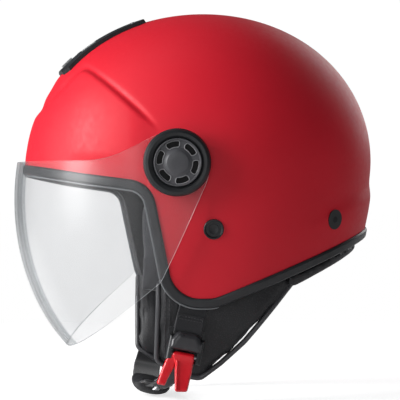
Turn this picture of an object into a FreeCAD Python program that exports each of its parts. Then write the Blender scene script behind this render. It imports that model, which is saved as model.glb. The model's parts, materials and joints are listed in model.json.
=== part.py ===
"""Open-face motorcycle helmet with a long clear visor and a ratchet chin strap.

Frame: millimetres, +Z up, -Y is the wearer's front, +X is the wearer's left.
The origin is the centre of the headform: the shell's plan centre at the height of the visor pivots.
Every piece is written to parts/NODE.step.
"""
import FreeCAD, Part

import math
import os

from FreeCAD import Matrix, Rotation, Vector

# ---- shell: one dome, made of conic arcs -------------------------------------------------
FRONT = 139.0           # centre to the brow
REAR = 137.3            # centre to the back of the head
HALF_WIDTH = 113.5      # centre to the side
TOP = 120.3             # pivot height to the crown
BOTTOM = 190.0          # pivot height to where the lower dome would close
SWEEP_BACK = 0.03       # the dome leans back this much per millimetre of height
TOP_WEIGHT = 0.73       # fullness of the conic arcs, 0.707 is an ellipse
PLAN_WEIGHT = 0.73
BOTTOM_WEIGHT = 0.95
SHELL_WALL = 4.0

# ---- layers inside the shell -------------------------------------------------------------
LAYER_GAP = 0.4         # air between one layer and the next
EPS_INNER = 26.0        # depth of the foam's inner face below the shell's outer face
LINER_INNER = 35.0      # depth of the comfort liner's inner face
SNAP_PLACES = ((-18, -45), (14, -45), (0, -82))   # (y, z) of the cheek pads' press studs
SNAP_R = 5.0
PAD_INNER_X = 62.0      # middle plane to the cheek cushions
TRIM_PROUD = 1.8        # how far the rubber edge trim stands off the shell
TRIM_HEIGHT = 8.5
EDGE_INSIDE_TRIM = 6.0  # the shell's cut edge lies this far below the trim's upper lip

# ---- visor and its pivot -----------------------------------------------------------------
PIVOT_Y = -31.5
PIVOT_Z = 0.0
VISOR_REACH = 116.0     # pivot to the visor's foremost point
VISOR_HALF_WIDTH = 118.5
VISOR_WALL = 2.2
VISOR_BULGE_Z = -28.0   # height of the foremost point
VISOR_BULGE_R = 150.0   # half-height of the front profile's ellipse
VISOR_TAPER_Z = -40.0   # below here the sides draw in
VISOR_TAPER_R = 133.0
VISOR_FLAT = 24.0       # the sides stay flat for this far ahead of the pivots
VISOR_HEIGHTS = (30, 12, -8, -28, -40, -52, -64, -76, -88, -100, -112, -124, -134, -143, -152)
BOSS_R = 9.0
RUNNING_GAP = 0.05      # radial clearance of a shaft in its hole
BASE_R = 22.0
BASE_FACE_X = 115.6
BOSS_FACE_X = 119.3
RING_R = 25.4
RING_FACE_X = 125.2
RING_BORE_R = 18.3
RING_LIP_R = 14.0       # thin lip behind the knob that holds the ring to the visor
KNOB_R = 17.9
KNOB_BACK_X = 119.7
KNOB_FACE_X = 126.0
KNOB_SHAFT_R = 4.0
KNOB_SHAFT_END_X = 112.5
KNOB_WINDOWS = 6
WINDOW_R = (11.4, 15.8) # inner and outer radius of the knob's windows
WINDOW_HALF_ANGLE = 19.0
NUT_R = 4.0
NUT_THICK = 3.0

# ---- top vent ----------------------------------------------------------------------------
VENT_FRONT = (-109.5, 70.4)
VENT_REAR = (-45.5, 114.4)
VENT_HALF_WIDTH = 25.0
VENT_PROUD = 3.0
VENT_SCREW_X = (-14.0, 14.0)
VENT_SCREW_AT = 0.88    # shares of the vent's length, from its front end
SLIDER_AT = 0.115
WINDOW_AT = (0.29, 0.47)
TRACK_AT = (0.02, 0.27)

# ---- plugs on each side ------------------------------------------------------------------
ANCHOR_Y = -2.8
ANCHOR_Z = -50.0
STUD_Y = 95.0
STUD_Z = -43.0
PLUG_R = 7.7
TAB_X = 99.0            # mid-plane of the steel tab that the webbing hangs from
TAB_THICK = 1.5
RIVET_R = 3.0
STUD_BORE_R = 2.5
STUD_BORE_DEPTH = 3.0

# ---- chin strap, drawn hanging straight down and then leant forward about the anchors -----
STRAP_LEAN = 11.7       # degrees
WEB_WIDTH = 22.0
WEB_THICK = 2.0
CHIN_Y = -13.8          # fore-aft place of the chin pad, before the lean
CHIN_Z = -179.0
BUCKLE_X = 92.0         # mid-plane of the toothed band inside the buckle
BUCKLE_Y = -4.0
BUCKLE_TOP = -134.0
BUCKLE_FOOT = -153.0
BUCKLE_HALF_WIDTH = 13.5
WEB_BAR_Z = -129.5      # bar above the buckle that the webbing is sewn round
WEB_BAR_HALF = 1.5
LEVER_PIN_X = 96.6
LEVER_PIN_Z = -148.0
LEVER_PIN_R = 1.5
LEVER_FOOT = -177.0
BAND_RIVETS = ((40.0, -177.2), (47.0, -176.0))   # (x, z), before the lean
BAND_RIVET_Y = -13.2
BAND_RIVET_R = 1.5

SIDES = (("left", 1), ("right", -1))
X_AXIS = Vector(1, 0, 0)
Y_AXIS = Vector(0, 1, 0)
FAR = 400.0             # bigger than the helmet


# ==== geometry helpers ====================================================================
def conic(b, weight):
    """The other coordinate of a quarter conic arc in a unit box, for one coordinate b."""
    k = 4 * weight ** 2 * (1 - b)
    p = 2 * (b - 1) + k
    q = (b - 1) ** 2 - k
    return (-p + math.sqrt(max(p * p - 4 * q, 0.0))) / 2


def dome(offset=0.0):
    """The solid dome, with every half-axis made smaller by offset."""
    front = FRONT - offset
    rear = REAR - offset
    wide = HALF_WIDTH - offset
    plan = [(wide, 0), (wide, rear), (0, rear), (-wide, rear), (-wide, 0),
            (-wide, -front), (0, -front), (wide, -front), (wide, 0)]
    plan_weights = [1, PLAN_WEIGHT] * 4 + [1]
    low = -(BOTTOM - offset)
    high = TOP - offset
    rise = [(0, low), (1, low), (1, 0), (1, high), (0, high)]
    rise_weights = [1, BOTTOM_WEIGHT, 1, TOP_WEIGHT, 1]
    poles = [[Vector(x * s, y * s + SWEEP_BACK * z, z) for s, z in rise] for x, y in plan]
    weights = [[a * b for b in rise_weights] for a in plan_weights]
    surface = Part.BSplineSurface()
    surface.buildFromPolesMultsKnots(poles, [3, 2, 2, 2, 3], [3, 2, 3], [0, 1, 2, 3, 4], [0, 1, 2],
                                     False, False, 2, 2, weights)
    return Part.Solid(Part.Shell([surface.toShape()]))


def dome_x(y, z, offset=0.0):
    """Half-width of the dome at one place in the side view."""
    if z > 0:
        share = conic(z / (TOP - offset), TOP_WEIGHT)
    else:
        share = conic(-z / (BOTTOM - offset), BOTTOM_WEIGHT)
    from_middle = y - SWEEP_BACK * z
    length = (REAR if from_middle > 0 else FRONT) - offset
    return (HALF_WIDTH - offset) * share * conic(abs(from_middle) / (length * share), PLAN_WEIGHT)


def dome_normal(y, z):
    """Outward normal of the dome's left side at one place in the side view."""
    step = 0.5
    slope_y = (dome_x(y + step, z) - dome_x(y - step, z)) / (2 * step)
    slope_z = (dome_x(y, z + step) - dome_x(y, z - step)) / (2 * step)
    return Vector(1, -slope_y, -slope_z).normalize()


def in_layer(block, outer, inner):
    """The part of a block that lies between two depths of the dome."""
    return block.common(dome(outer)).cut(dome(inner))


def outline(corners):
    """A closed wire in the side view (y, z) with each corner (y, z, radius) rounded."""
    points = [Vector(0, y, z) for y, z, r in corners]
    edges = []
    last = None
    first = None
    count = len(points)
    for i, (y, z, radius) in enumerate(corners):
        here = points[i]
        to_last = (points[i - 1] - here).normalize()
        to_next = (points[(i + 1) % count] - here).normalize()
        if radius > 0:
            half = to_last.getAngle(to_next) / 2
            run = radius / math.tan(half)
            start = here + to_last * run
            end = here + to_next * run
            middle = here + (to_last + to_next).normalize() * (radius / math.sin(half) - radius)
            if last is not None:
                edges.append(Part.LineSegment(last, start).toShape())
            edges.append(Part.Arc(start, middle, end).toShape())
        else:
            start = here
            end = here
            if last is not None:
                edges.append(Part.LineSegment(last, start).toShape())
        if first is None:
            first = start
        last = end
    edges.append(Part.LineSegment(last, first).toShape())
    return Part.Wire(edges)


def prism(wire, x_low=-FAR / 2, x_high=FAR / 2, grow=0.0):
    """A side-view outline carried through along X, optionally grown outwards."""
    face = Part.Face(wire)
    if grow:
        face = face.makeOffset2D(grow)
    solid = face.extrude(Vector(x_high - x_low, 0, 0))
    solid.translate(Vector(x_low, 0, 0))
    return solid


def box(x, y, z):
    """A box from three (low, high) pairs."""
    return Part.makeBox(x[1] - x[0], y[1] - y[0], z[1] - z[0], Vector(x[0], y[0], z[0]))


def side_box(sign, x, y, z):
    """A box on one side of the helmet: x counts outwards from the middle plane."""
    return box(sorted((sign * x[0], sign * x[1])), y, z)


def rod(radius, x_low, x_high, y, z, sign=1):
    """A cylinder along X, between two distances from the middle plane, on one side."""
    start = Vector(sign * x_low, y, z)
    return Part.makeCylinder(radius, x_high - x_low, start, X_AXIS * sign)


def tube(outer_r, inner_r, x_low, x_high, y, z, sign=1):
    """A ring along X on one side."""
    return rod(outer_r, x_low, x_high, y, z, sign).cut(rod(inner_r, x_low, x_high, y, z, sign))


def turned(profile, y, z, sign):
    """A profile of (radius, x) points turned about the X direction through (y, z)."""
    points = [Vector(x, radius, 0) for radius, x in profile]
    face = polygon(points)
    solid = face.revolve(Vector(0, 0, 0), X_AXIS, 360)
    if sign < 0:
        solid = solid.mirror(Vector(0, 0, 0), X_AXIS)
    solid.translate(Vector(0, y, z))
    return solid


def stand_on(shape, place, direction):
    """Moves a shape drawn along +Z at the origin so that it stands at place along direction."""
    moved = shape.copy()
    moved.Placement = FreeCAD.Placement(place, Rotation(Vector(0, 0, 1), direction))
    return moved


def fuse(shapes):
    """One solid from several that touch or overlap."""
    joined = shapes[0]
    for shape in shapes[1:]:
        joined = joined.fuse(shape)
    return joined.removeSplitter()


def polygon(points):
    """Flat face with the points as its corners."""
    return Part.Face(Part.makePolygon(points + points[:1]))


def ribbon(stations, width, thick):
    """A strap through (x, y, z) stations, flat along Y, with its thickness square to its run in X-Z."""
    sections = []
    for i, (x, y, z) in enumerate(stations):
        before = stations[max(i - 1, 0)]
        after = stations[min(i + 1, len(stations) - 1)]
        run = Vector(after[0] - before[0], 0, after[2] - before[2]).normalize()
        across = Vector(-run.z, 0, run.x) * (thick / 2)
        along_y = Vector(0, width / 2, 0)
        centre = Vector(x, y, z)
        corners = [centre + across + along_y, centre + across - along_y,
                   centre - across - along_y, centre - across + along_y]
        sections.append(Part.makePolygon(corners + corners[:1]))
    return Part.makeLoft(sections, True, True)


def hang(shape):
    """Leans a piece of the chin strap forward about the axis through both anchors."""
    leant = shape.copy()
    leant.rotate(Vector(0, ANCHOR_Y, ANCHOR_Z), X_AXIS, -STRAP_LEAN)
    return leant


# ==== outlines seen from the side =========================================================
def shell_side():
    """Everything above the rim: brow line, cheek edge, jaw corner and the line up to the nape."""
    return outline([(-200, 10.5, 0), (-100, -7.6, 180), (-49.5, -14.5, 22), (-31.0, -102.5, 24),
                    (-1.0, -102.5, 26), (200, -22.5, 0), (200, 200, 0), (-200, 200, 0)])


def visor_side():
    """Long visor: flat top edge, pivot end, straight rear edge and a chin curve to the lower tip."""
    return outline([(-170, 1.8, 0), (-84, 1.8, 60), (-38, 25.0, 22), (-3.0, 3.0, 20), (-9.8, -17.0, 14),
                    (-42.5, -90.0, 16), (-109.0, -146.0, 0), (-170, -146.0, 0)])


def cheek_side():
    """Cheek pad above, and its soft flap hanging below the rim."""
    return outline([(-40, -27, 10), (28, -27, 12), (52, -102, 10), (14, -152, 14),
                    (-8, -168, 12), (-38, -152, 14), (-42, -100, 30)])


def neck_side():
    """Thin padded collar under the rear rim, deeper where it meets the cheek flaps."""
    return outline([(58, -89.6, 4), (127, -62.2, 2), (125, -67.8, 1.5), (57, -101, 5)])


# ==== shell and liners ====================================================================
def pivot_screw_places():
    """Side-view places of the three screws that hold each pivot base."""
    radius = 15.0
    for degrees in (90, 210, 330):
        angle = math.radians(degrees)
        yield PIVOT_Y + radius * math.cos(angle), PIVOT_Z + radius * math.sin(angle)


def stud_place(sign):
    """Centre and outward direction of a rear stud on the shell's outer face."""
    normal = dome_normal(STUD_Y, STUD_Z)
    place = Vector(sign * dome_x(STUD_Y, STUD_Z), STUD_Y, STUD_Z)
    return place, Vector(sign * normal.x, normal.y, normal.z)


def edge_trim(shell):
    """Rubber channel that wraps the shell's cut edge."""
    band = in_layer(prism(shell_side(), grow=TRIM_HEIGHT), -TRIM_PROUD, SHELL_WALL + TRIM_PROUD)
    return band.cut(prism(shell_side())).cut(shell)


def plain_shell():
    """Shell before its holes."""
    return in_layer(prism(shell_side(), grow=EDGE_INSIDE_TRIM), 0, SHELL_WALL)


def outer_shell(blank):
    """Moulded shell with holes for the pivots, anchors, rear studs and air intake."""
    shell = blank
    for name, sign in SIDES:
        for y, z in pivot_screw_places():
            shell = shell.cut(rod(2.1, 90, 130, y, z, sign))
        shell = shell.cut(rod(KNOB_SHAFT_R + 1.0, 90, 130, PIVOT_Y, PIVOT_Z, sign))
        shell = shell.cut(rod(3.2, 90, 130, ANCHOR_Y, ANCHOR_Z, sign))
        place, direction = stud_place(sign)
        shell = shell.cut(stand_on(Part.makeCylinder(4.6, 20, Vector(0, 0, -10)), place, direction))
    return shell.cut(vent_block(0.30, 0.44, 12.0, -2.0, 10.0))


def eps_liner():
    """Impact foam, with clear pockets for fasteners and a slot for each strap to swing in."""
    foam = in_layer(prism(shell_side(), grow=EDGE_INSIDE_TRIM), SHELL_WALL + LAYER_GAP, EPS_INNER)
    rim = prism(shell_side(), grow=TRIM_HEIGHT).cut(prism(shell_side(), grow=-LAYER_GAP))
    foam = foam.cut(in_layer(rim, SHELL_WALL - 1, SHELL_WALL + TRIM_PROUD + LAYER_GAP))
    swing_slot = outline([(-14, -36, 6), (9, -36, 6), (24, -112, 0), (-62, -112, 0)])
    for name, sign in SIDES:
        for y, z in pivot_screw_places():
            foam = foam.cut(rod(NUT_R + 1.0, 95, 130, y, z, sign))
        for y, z in SNAP_PLACES:
            face_x = dome_x(y, z, EPS_INNER)
            foam = foam.cut(rod(SNAP_R + 0.4, face_x - 6, face_x + 3.4, y, z, sign))
        foam = foam.cut(prism(swing_slot, *sorted((sign * 86.0, sign * 130.0))))
        place, direction = stud_place(sign)
        foam = foam.cut(stand_on(Part.makeCylinder(7.5, 20, Vector(0, 0, -13)), place, direction))
    return foam


def crown_liner():
    """Washable comfort lining of the crown and brow."""
    block = prism(shell_side(), grow=2.0).common(box((-FAR, FAR), (-FAR, FAR), (-24.0, FAR)))
    return in_layer(block, EPS_INNER + LAYER_GAP, LINER_INNER)


def cheek_pad(sign):
    """Cheek cushion inside the foam, joined to a flap that hangs outside the jaw."""
    side = prism(cheek_side())
    cushion = side.common(side_box(sign, (PAD_INNER_X, 130), (-60, 60), (-109, -20)))
    cushion = cushion.common(dome(EPS_INNER + LAYER_GAP))
    section = [(PAD_INNER_X, -108), (66, -120), (66, -170), (74.4, -170), (85.2, -122), (86, -112),
               (69, -111), (69, -108)]
    points = [Vector(sign * x, -70, z) for x, z in section]
    flap = polygon(points).extrude(Vector(0, 140, 0)).common(side)
    return cushion.fuse(flap)


def neck_roll():
    """Padded collar round the nape."""
    return in_layer(prism(neck_side()), 3.0, 32.0)


def liner_snaps():
    """Press studs sunk in the foam, which hold each cheek pad."""
    snaps = []
    for name, sign in SIDES:
        for y, z in SNAP_PLACES:
            face_x = dome_x(y, z, EPS_INNER)
            snaps.append(rod(SNAP_R, face_x + 0.9, face_x + 3.2, y, z, sign))
    return snaps


# ==== visor and pivots ====================================================================
def visor_blank(inset):
    """Solid inside the visor's surface: flat sides beside the pivots, half-ellipses ahead of them."""
    wide = VISOR_HALF_WIDTH - inset
    flat_y = PIVOT_Y - VISOR_FLAT
    rear_y = PIVOT_Y + 60
    sections = []
    for z in VISOR_HEIGHTS:
        bulge = (z - VISOR_BULGE_Z) / VISOR_BULGE_R
        reach = (VISOR_REACH - inset) * math.sqrt(1 - bulge ** 2) - VISOR_FLAT
        taper = max(VISOR_TAPER_Z - z, 0) / VISOR_TAPER_R
        half = wide * math.sqrt(1 - taper ** 2)
        front = Part.makeCircle(1, Vector(0, 0, 0), Vector(0, 0, 1), 180, 360).toNurbs()
        scale = Matrix()
        scale.scale(Vector(half, reach, 1))
        scale.move(Vector(0, flat_y, z))
        front = front.transformGeometry(scale)
        rear_half = [(half, flat_y), (half, rear_y), (-half, rear_y), (-half, flat_y)]
        corners = [Vector(x, y, z) for x, y in rear_half]
        edges = front.Edges + [Part.LineSegment(a, b).toShape() for a, b in zip(corners, corners[1:])]
        sections.append(Part.Wire(edges))
    loft = Part.makeLoft(sections, True, False)
    return loft.common(box((-wide, wide), (-FAR, FAR), (-FAR, FAR)))


def visor_lens():
    """Clear moulded visor with a running hole on each pivot boss."""
    lens = visor_blank(0).cut(visor_blank(VISOR_WALL)).common(prism(visor_side()))
    for name, sign in SIDES:
        lens = lens.cut(rod(BOSS_R + RUNNING_GAP, 100, 130, PIVOT_Y, PIVOT_Z, sign))
    return lens


def pivot_base(sign):
    """Plate screwed to the shell, with the boss that the visor turns on."""
    plate = rod(BASE_R, 100, BASE_FACE_X, PIVOT_Y, PIVOT_Z, sign).cut(dome(-0.02))
    boss = rod(BOSS_R, BASE_FACE_X - 1, BOSS_FACE_X, PIVOT_Y, PIVOT_Z, sign)
    base = fuse([plate, boss])
    base = base.cut(rod(KNOB_SHAFT_R + RUNNING_GAP, 105, 130, PIVOT_Y, PIVOT_Z, sign))
    for y, z in pivot_screw_places():
        base = base.cut(rod(2.1, 100, 130, y, z, sign))
        base = base.cut(rod(4.0, BASE_FACE_X - 1.8, 130, y, z, sign))
    return base


def nut_face(y, z):
    """Distance from the middle plane of the outer face of the nut behind one pivot screw."""
    inside = [dome_x(y + dy, z + dz, SHELL_WALL) for dy in (-NUT_R, NUT_R) for dz in (-NUT_R, NUT_R)]
    return min(inside) - 0.1


def pivot_screws():
    """Three pan-head screws on each side, sunk into the base plate."""
    screws = []
    for name, sign in SIDES:
        for y, z in pivot_screw_places():
            shaft = rod(1.9, nut_face(y, z) - NUT_THICK, BASE_FACE_X - 1.5, y, z, sign)
            head = rod(3.8, BASE_FACE_X - 1.75, BASE_FACE_X - 0.15, y, z, sign)
            slot = side_box(sign, (BASE_FACE_X - 0.9, BASE_FACE_X), (y - 3, y + 3), (z - 0.5, z + 0.5))
            screws.append(fuse([shaft, head]).cut(slot))
    return screws


def t_nuts():
    """Round nuts inside the shell, one behind each pivot screw."""
    return [tube(NUT_R, 1.95, nut_face(y, z) - NUT_THICK, nut_face(y, z), y, z, sign)
            for name, sign in SIDES for y, z in pivot_screw_places()]


def pivot_ring(sign):
    """Dished ring fixed to the visor round the knob."""
    back = VISOR_HALF_WIDTH
    profile = [(RING_LIP_R, back), (RING_R - 0.6, back), (RING_R, back + 1.0), (RING_R, RING_FACE_X - 2.8),
               (RING_R - 1.2, RING_FACE_X - 0.9), (RING_R - 3.2, RING_FACE_X),
               (RING_BORE_R + 1.6, RING_FACE_X - 0.6), (RING_BORE_R, RING_FACE_X - 1.8),
               (RING_BORE_R, back + 0.9), (RING_LIP_R, back + 0.9)]
    return turned(profile, PIVOT_Y, PIVOT_Z, sign)


def detent_springs():
    """Thin spring washers between each boss and its knob."""
    return [tube(13.2, BOSS_R + 0.4, 118.7, 119.3, PIVOT_Y, PIVOT_Z, sign) for name, sign in SIDES]


def knob_window(index, sign):
    """One arc-shaped pocket of the knob."""
    centre = 360.0 / KNOB_WINDOWS * index
    ring = tube(WINDOW_R[1], WINDOW_R[0], KNOB_FACE_X - 4.6, KNOB_FACE_X + 2, 0, 0, sign)
    wedge_points = [Vector(0, 0, 0)]
    for degrees in (centre - WINDOW_HALF_ANGLE, centre + WINDOW_HALF_ANGLE):
        angle = math.radians(degrees)
        wedge_points.append(Vector(0, 40 * math.cos(angle), 40 * math.sin(angle)))
    wedge = polygon(wedge_points)
    wedge = wedge.extrude(Vector(2 * FAR, 0, 0))
    wedge.translate(Vector(-FAR, 0, 0))
    window = ring.common(wedge)
    window.translate(Vector(0, PIVOT_Y, PIVOT_Z))
    return window


def pivot_knob(sign):
    """Wheel-shaped quarter-turn knob that locks the visor on its boss."""
    profile = [(0, KNOB_SHAFT_END_X), (KNOB_SHAFT_R, KNOB_SHAFT_END_X), (KNOB_SHAFT_R, KNOB_BACK_X),
               (KNOB_R, KNOB_BACK_X), (KNOB_R, KNOB_FACE_X - 1.0), (KNOB_R - 0.8, KNOB_FACE_X - 0.3),
               (KNOB_R - 1.8, KNOB_FACE_X - 0.3), (WINDOW_R[1] - 0.2, KNOB_FACE_X - 1.3),
               (WINDOW_R[0], KNOB_FACE_X - 1.3), (8.6, KNOB_FACE_X - 0.2), (8.2, KNOB_FACE_X),
               (0, KNOB_FACE_X)]
    knob = turned(profile, PIVOT_Y, PIVOT_Z, sign)
    for index in range(KNOB_WINDOWS):
        knob = knob.cut(knob_window(index, sign))
    return knob


# ==== vent ================================================================================
def vent_frame():
    """Unit vectors along the vent (towards the rear) and out of the shell, and its front end."""
    front = Vector(0, *VENT_FRONT)
    along = Vector(0, *VENT_REAR) - front
    length = along.Length
    along.normalize()
    return front, along, Vector(0, -along.z, along.y), length


def vent_block(share_low, share_high, half_width, outer, inner):
    """Part of the dome layer from outer to inner depth, under one stretch of the vent."""
    front, along, out, length = vent_frame()
    low = front + along * (length * share_low)
    high = front + along * (length * share_high)
    half = Vector(half_width, 0, 0)
    points = [low - half, high - half, high + half, low + half]
    slab = polygon(points).extrude(out * 60)
    slab.translate(out * -30)
    return in_layer(slab, outer, inner)


def vent_plan(front_half, rear_half, low_share, high_share, outer, inner):
    """Tapered stretch of the vent with rounded corners."""
    front, along, out, length = vent_frame()
    low = front + along * (length * low_share)
    high = front + along * (length * high_share)
    corner = 6.0
    points = [low - X_AXIS * (front_half - corner), low - X_AXIS * front_half + along * corner,
              high - X_AXIS * rear_half - along * corner, high - X_AXIS * (rear_half - corner),
              high + X_AXIS * (rear_half - corner), high + X_AXIS * rear_half - along * corner,
              low + X_AXIS * front_half + along * corner, low + X_AXIS * (front_half - corner)]
    slab = polygon(points).extrude(out * 60)
    slab.translate(out * -30)
    return in_layer(slab, outer, inner)


def vent_cover():
    """Black cowl over the intake, with a grille window and a track for the slider."""
    cover = vent_plan(VENT_HALF_WIDTH, VENT_HALF_WIDTH - 5, 0.0, 1.0, -VENT_PROUD, -0.1)
    cover = cover.cut(vent_block(*WINDOW_AT, 16.0, -10, 10))
    cover = cover.cut(vent_block(*TRACK_AT, 10.4, -2.1, 5))
    cover = cover.cut(vent_block(TRACK_AT[0] + 0.015, TRACK_AT[1] - 0.015, 7.6, -10, 5))
    for x in VENT_SCREW_X:
        cover = cover.cut(vent_hole(x, 1.7))
    return cover


def vent_hole(x, radius):
    """Screw hole near the rear of the vent."""
    front, along, out, length = vent_frame()
    place = front + along * (length * VENT_SCREW_AT) + Vector(x, 0, 0)
    return Part.makeCylinder(radius, 60, place - out * 30, out)


def vent_screws():
    """Two small screws that fix the rear of the cowl."""
    screws = []
    for x in VENT_SCREW_X:
        shaft = in_layer(vent_hole(x, 1.6), -VENT_PROUD + 0.8, -0.15)
        head = in_layer(vent_hole(x, 1.6), -VENT_PROUD - 0.5, -VENT_PROUD + 0.8)
        screws.append(fuse([shaft, head]))
    return screws


def vent_grille():
    """Frame of cross slats that fills the window."""
    low_end = WINDOW_AT[0] + 0.003
    high_end = WINDOW_AT[1] - 0.003
    frame = 0.01
    slats = 5
    pitch = (high_end - low_end - 2 * frame) / slats
    grille = vent_block(low_end, high_end, 15.8, -VENT_PROUD + 0.2, -0.1)
    for index in range(slats):
        low = low_end + frame + pitch * index
        grille = grille.cut(vent_block(low, low + pitch * 0.55, 13.5, -10, 5))
    return grille


def vent_slider():
    """Small ribbed slider, with side flanges that keep it under the cowl."""
    front, along, out, length = vent_frame()
    half = 4.6 / length
    tab = vent_block(SLIDER_AT - half, SLIDER_AT + half, 7.1, -VENT_PROUD - 1.1, -0.65)
    flange = vent_block(SLIDER_AT - half, SLIDER_AT + half, 9.8, -1.45, -0.65)
    slider = fuse([tab, flange])
    for index in (-1, 0, 1):
        middle = SLIDER_AT + index * 2.6 / length
        groove = vent_block(middle - 0.5 / length, middle + 0.5 / length, 6.0, -10, -VENT_PROUD - 0.5)
        slider = slider.cut(groove)
    return slider


# ==== plugs, anchors and studs ============================================================
def anchor_caps():
    """Black plugs over the strap rivets."""
    caps = []
    for name, sign in SIDES:
        face = dome_x(ANCHOR_Y, ANCHOR_Z)
        cap = rod(PLUG_R, face - 2, face + 0.9, ANCHOR_Y, ANCHOR_Z, sign).cut(dome(-0.02))
        dish = rod(PLUG_R - 1.6, face + 0.3, face + 3, ANCHOR_Y, ANCHOR_Z, sign)
        caps.append(cap.cut(dish).cut(rod(3.2, 90, face + 0.05, ANCHOR_Y, ANCHOR_Z, sign)))
    return caps


def anchor_rivets():
    """Rivet through the shell on each side; the strap's steel tab turns on its shank."""
    rivets = []
    for name, sign in SIDES:
        face = dome_x(ANCHOR_Y, ANCHOR_Z)
        shank = rod(RIVET_R, TAB_X - 1.2, face - 0.2, ANCHOR_Y, ANCHOR_Z, sign)
        head = rod(6.0, TAB_X - 2.6, TAB_X - 1.0, ANCHOR_Y, ANCHOR_Z, sign)
        rivets.append(fuse([shank, head]))
    return rivets


def anchor_spacers():
    """Bush on each rivet between the steel tab and the shell."""
    inside = dome_x(ANCHOR_Y, ANCHOR_Z - 6, SHELL_WALL) - 0.1
    bore_r = RIVET_R + RUNNING_GAP
    return [tube(5.5, bore_r, TAB_X + 1.0, inside, ANCHOR_Y, ANCHOR_Z, sign) for name, sign in SIDES]


def rear_studs():
    """Snap socket in the shell on each side of the nape, with a blind round hole in its face."""
    studs = []
    for name, sign in SIDES:
        place, direction = stud_place(sign)
        flange = Part.makeCylinder(PLUG_R, 3.0, Vector(0, 0, -2.0))
        flange = stand_on(flange, place, direction).cut(dome(-0.02))
        stem = stand_on(Part.makeCylinder(4.5, 6.0, Vector(0, 0, -6.0)), place, direction)
        hole = Part.makeCylinder(STUD_BORE_R, STUD_BORE_DEPTH + 5, Vector(0, 0, 1 - STUD_BORE_DEPTH))
        studs.append(fuse([flange, stem]).cut(stand_on(hole, place, direction)))
    return studs


def stud_rings():
    """Lock ring that clips behind the shell on each rear stud's stem."""
    rings = []
    for name, sign in SIDES:
        place, direction = stud_place(sign)
        ring = Part.makeCylinder(6.8, 1.4, Vector(0, 0, -7.6))
        ring = ring.cut(Part.makeCylinder(2.0, 4, Vector(0, 0, -9)))
        rings.append(stand_on(ring, place, direction))
    return rings


# ==== chin strap ==========================================================================
def anchor_tabs():
    """Steel tab on each rivet with a slot that the webbing loops through."""
    faces = (TAB_X - TAB_THICK / 2, TAB_X + TAB_THICK / 2)
    tabs = []
    for name, sign in SIDES:
        eye = rod(8.0, *faces, ANCHOR_Y, ANCHOR_Z, sign)
        leg = side_box(sign, faces, (ANCHOR_Y - 8, ANCHOR_Y + 8), (-66, -52))
        foot = side_box(sign, faces, (ANCHOR_Y - 13.5, ANCHOR_Y + 13.5), (-74, -62))
        slot = side_box(sign, (90, 110), (ANCHOR_Y - 11.5, ANCHOR_Y + 11.5), (-70.8, -66.5))
        hole = rod(RIVET_R + RUNNING_GAP, 90, 110, ANCHOR_Y, ANCHOR_Z, sign)
        tabs.append(hang(fuse([eye, leg, foot]).cut(slot).cut(hole)))
    return tabs


def web_loop(x, z, y, bar_half_x, bar_half_z):
    """Webbing folded round a flat bar: a rectangular sleeve WEB_THICK thick."""
    gap = 0.3
    inner_x = bar_half_x + gap
    inner_z = bar_half_z + gap
    half = WEB_WIDTH / 2
    outer = box((x - inner_x - WEB_THICK, x + inner_x + WEB_THICK), (y - half, y + half),
                (z - inner_z - WEB_THICK, z + inner_z + WEB_THICK))
    return outer.cut(box((x - inner_x, x + inner_x), (y - half, y + half), (z - inner_z, z + inner_z)))


def web_drop(sign):
    """Upper run of the webbing: in from the steel tab and down inside the rim."""
    return [(sign * 98.4, ANCHOR_Y, -75.4), (sign * 93.2, ANCHOR_Y, -94), (sign * 88.7, ANCHOR_Y, -107),
            (sign * 88.7, ANCHOR_Y, -113)]


def strap_left():
    """Short side of the webbing: from the tab's slot down to the buckle's bar, with its end sewn back."""
    top = web_loop(TAB_X, -72.4, ANCHOR_Y, TAB_THICK / 2, 1.6)
    run = ribbon(web_drop(1) + [(BUCKLE_X, BUCKLE_Y, -126.5)], WEB_WIDTH, WEB_THICK)
    foot = web_loop(BUCKLE_X, WEB_BAR_Z, BUCKLE_Y, WEB_BAR_HALF, WEB_BAR_HALF)
    hem = ribbon([(91.4, ANCHOR_Y, -113), (BUCKLE_X + 2.4, BUCKLE_Y, -126.5)], WEB_WIDTH, WEB_THICK)
    return hang(fuse([top, run, foot, hem]))


def strap_right():
    """Long side of the webbing: from the right tab, under the chin, to the toothed band."""
    top = web_loop(-TAB_X, -72.4, ANCHOR_Y, TAB_THICK / 2, 1.6)
    run = ribbon(web_drop(-1) + [
        (-90, ANCHOR_Y - 2, -134), (-88.6, ANCHOR_Y - 4, -150), (-83.5, -9, -165.0), (-62, -11.5, -173.4),
        (-34, CHIN_Y, -177), (0, CHIN_Y, CHIN_Z), (34, CHIN_Y, -177), (50, -12.8, -174.2)],
        WEB_WIDTH, WEB_THICK)
    return hang(fuse([top, run]))


def ratchet_band():
    """Toothed plastic band that feeds up into the buckle, with teeth on its outer face."""
    band = ribbon([(36, CHIN_Y, -179.0), (50, -12.8, -176.6), (66, -10.5, -172.2), (80, -7.0, -165.4),
                   (88.5, -5.2, -159.4), (91.6, -4.3, -155.5), (BUCKLE_X, BUCKLE_Y, -153.9),
                   (BUCKLE_X, BUCKLE_Y, BUCKLE_TOP - 0.3)], 14.0, 1.6)
    pitch = 2.4
    for index in range(5):
        low = -150.6 + pitch * index
        points = [Vector(BUCKLE_X + 0.7, BUCKLE_Y - 5, low), Vector(BUCKLE_X + 1.5, BUCKLE_Y - 5, low + 0.4),
                  Vector(BUCKLE_X + 0.7, BUCKLE_Y - 5, low + pitch * 0.9)]
        tooth = polygon(points).extrude(Vector(0, 10, 0))
        band = band.fuse(tooth)
    for x, z in BAND_RIVETS:
        band = band.cut(Part.makeCylinder(BAND_RIVET_R, 20, Vector(x, BAND_RIVET_Y, z - 10)))
    return hang(band.removeSplitter())


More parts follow.
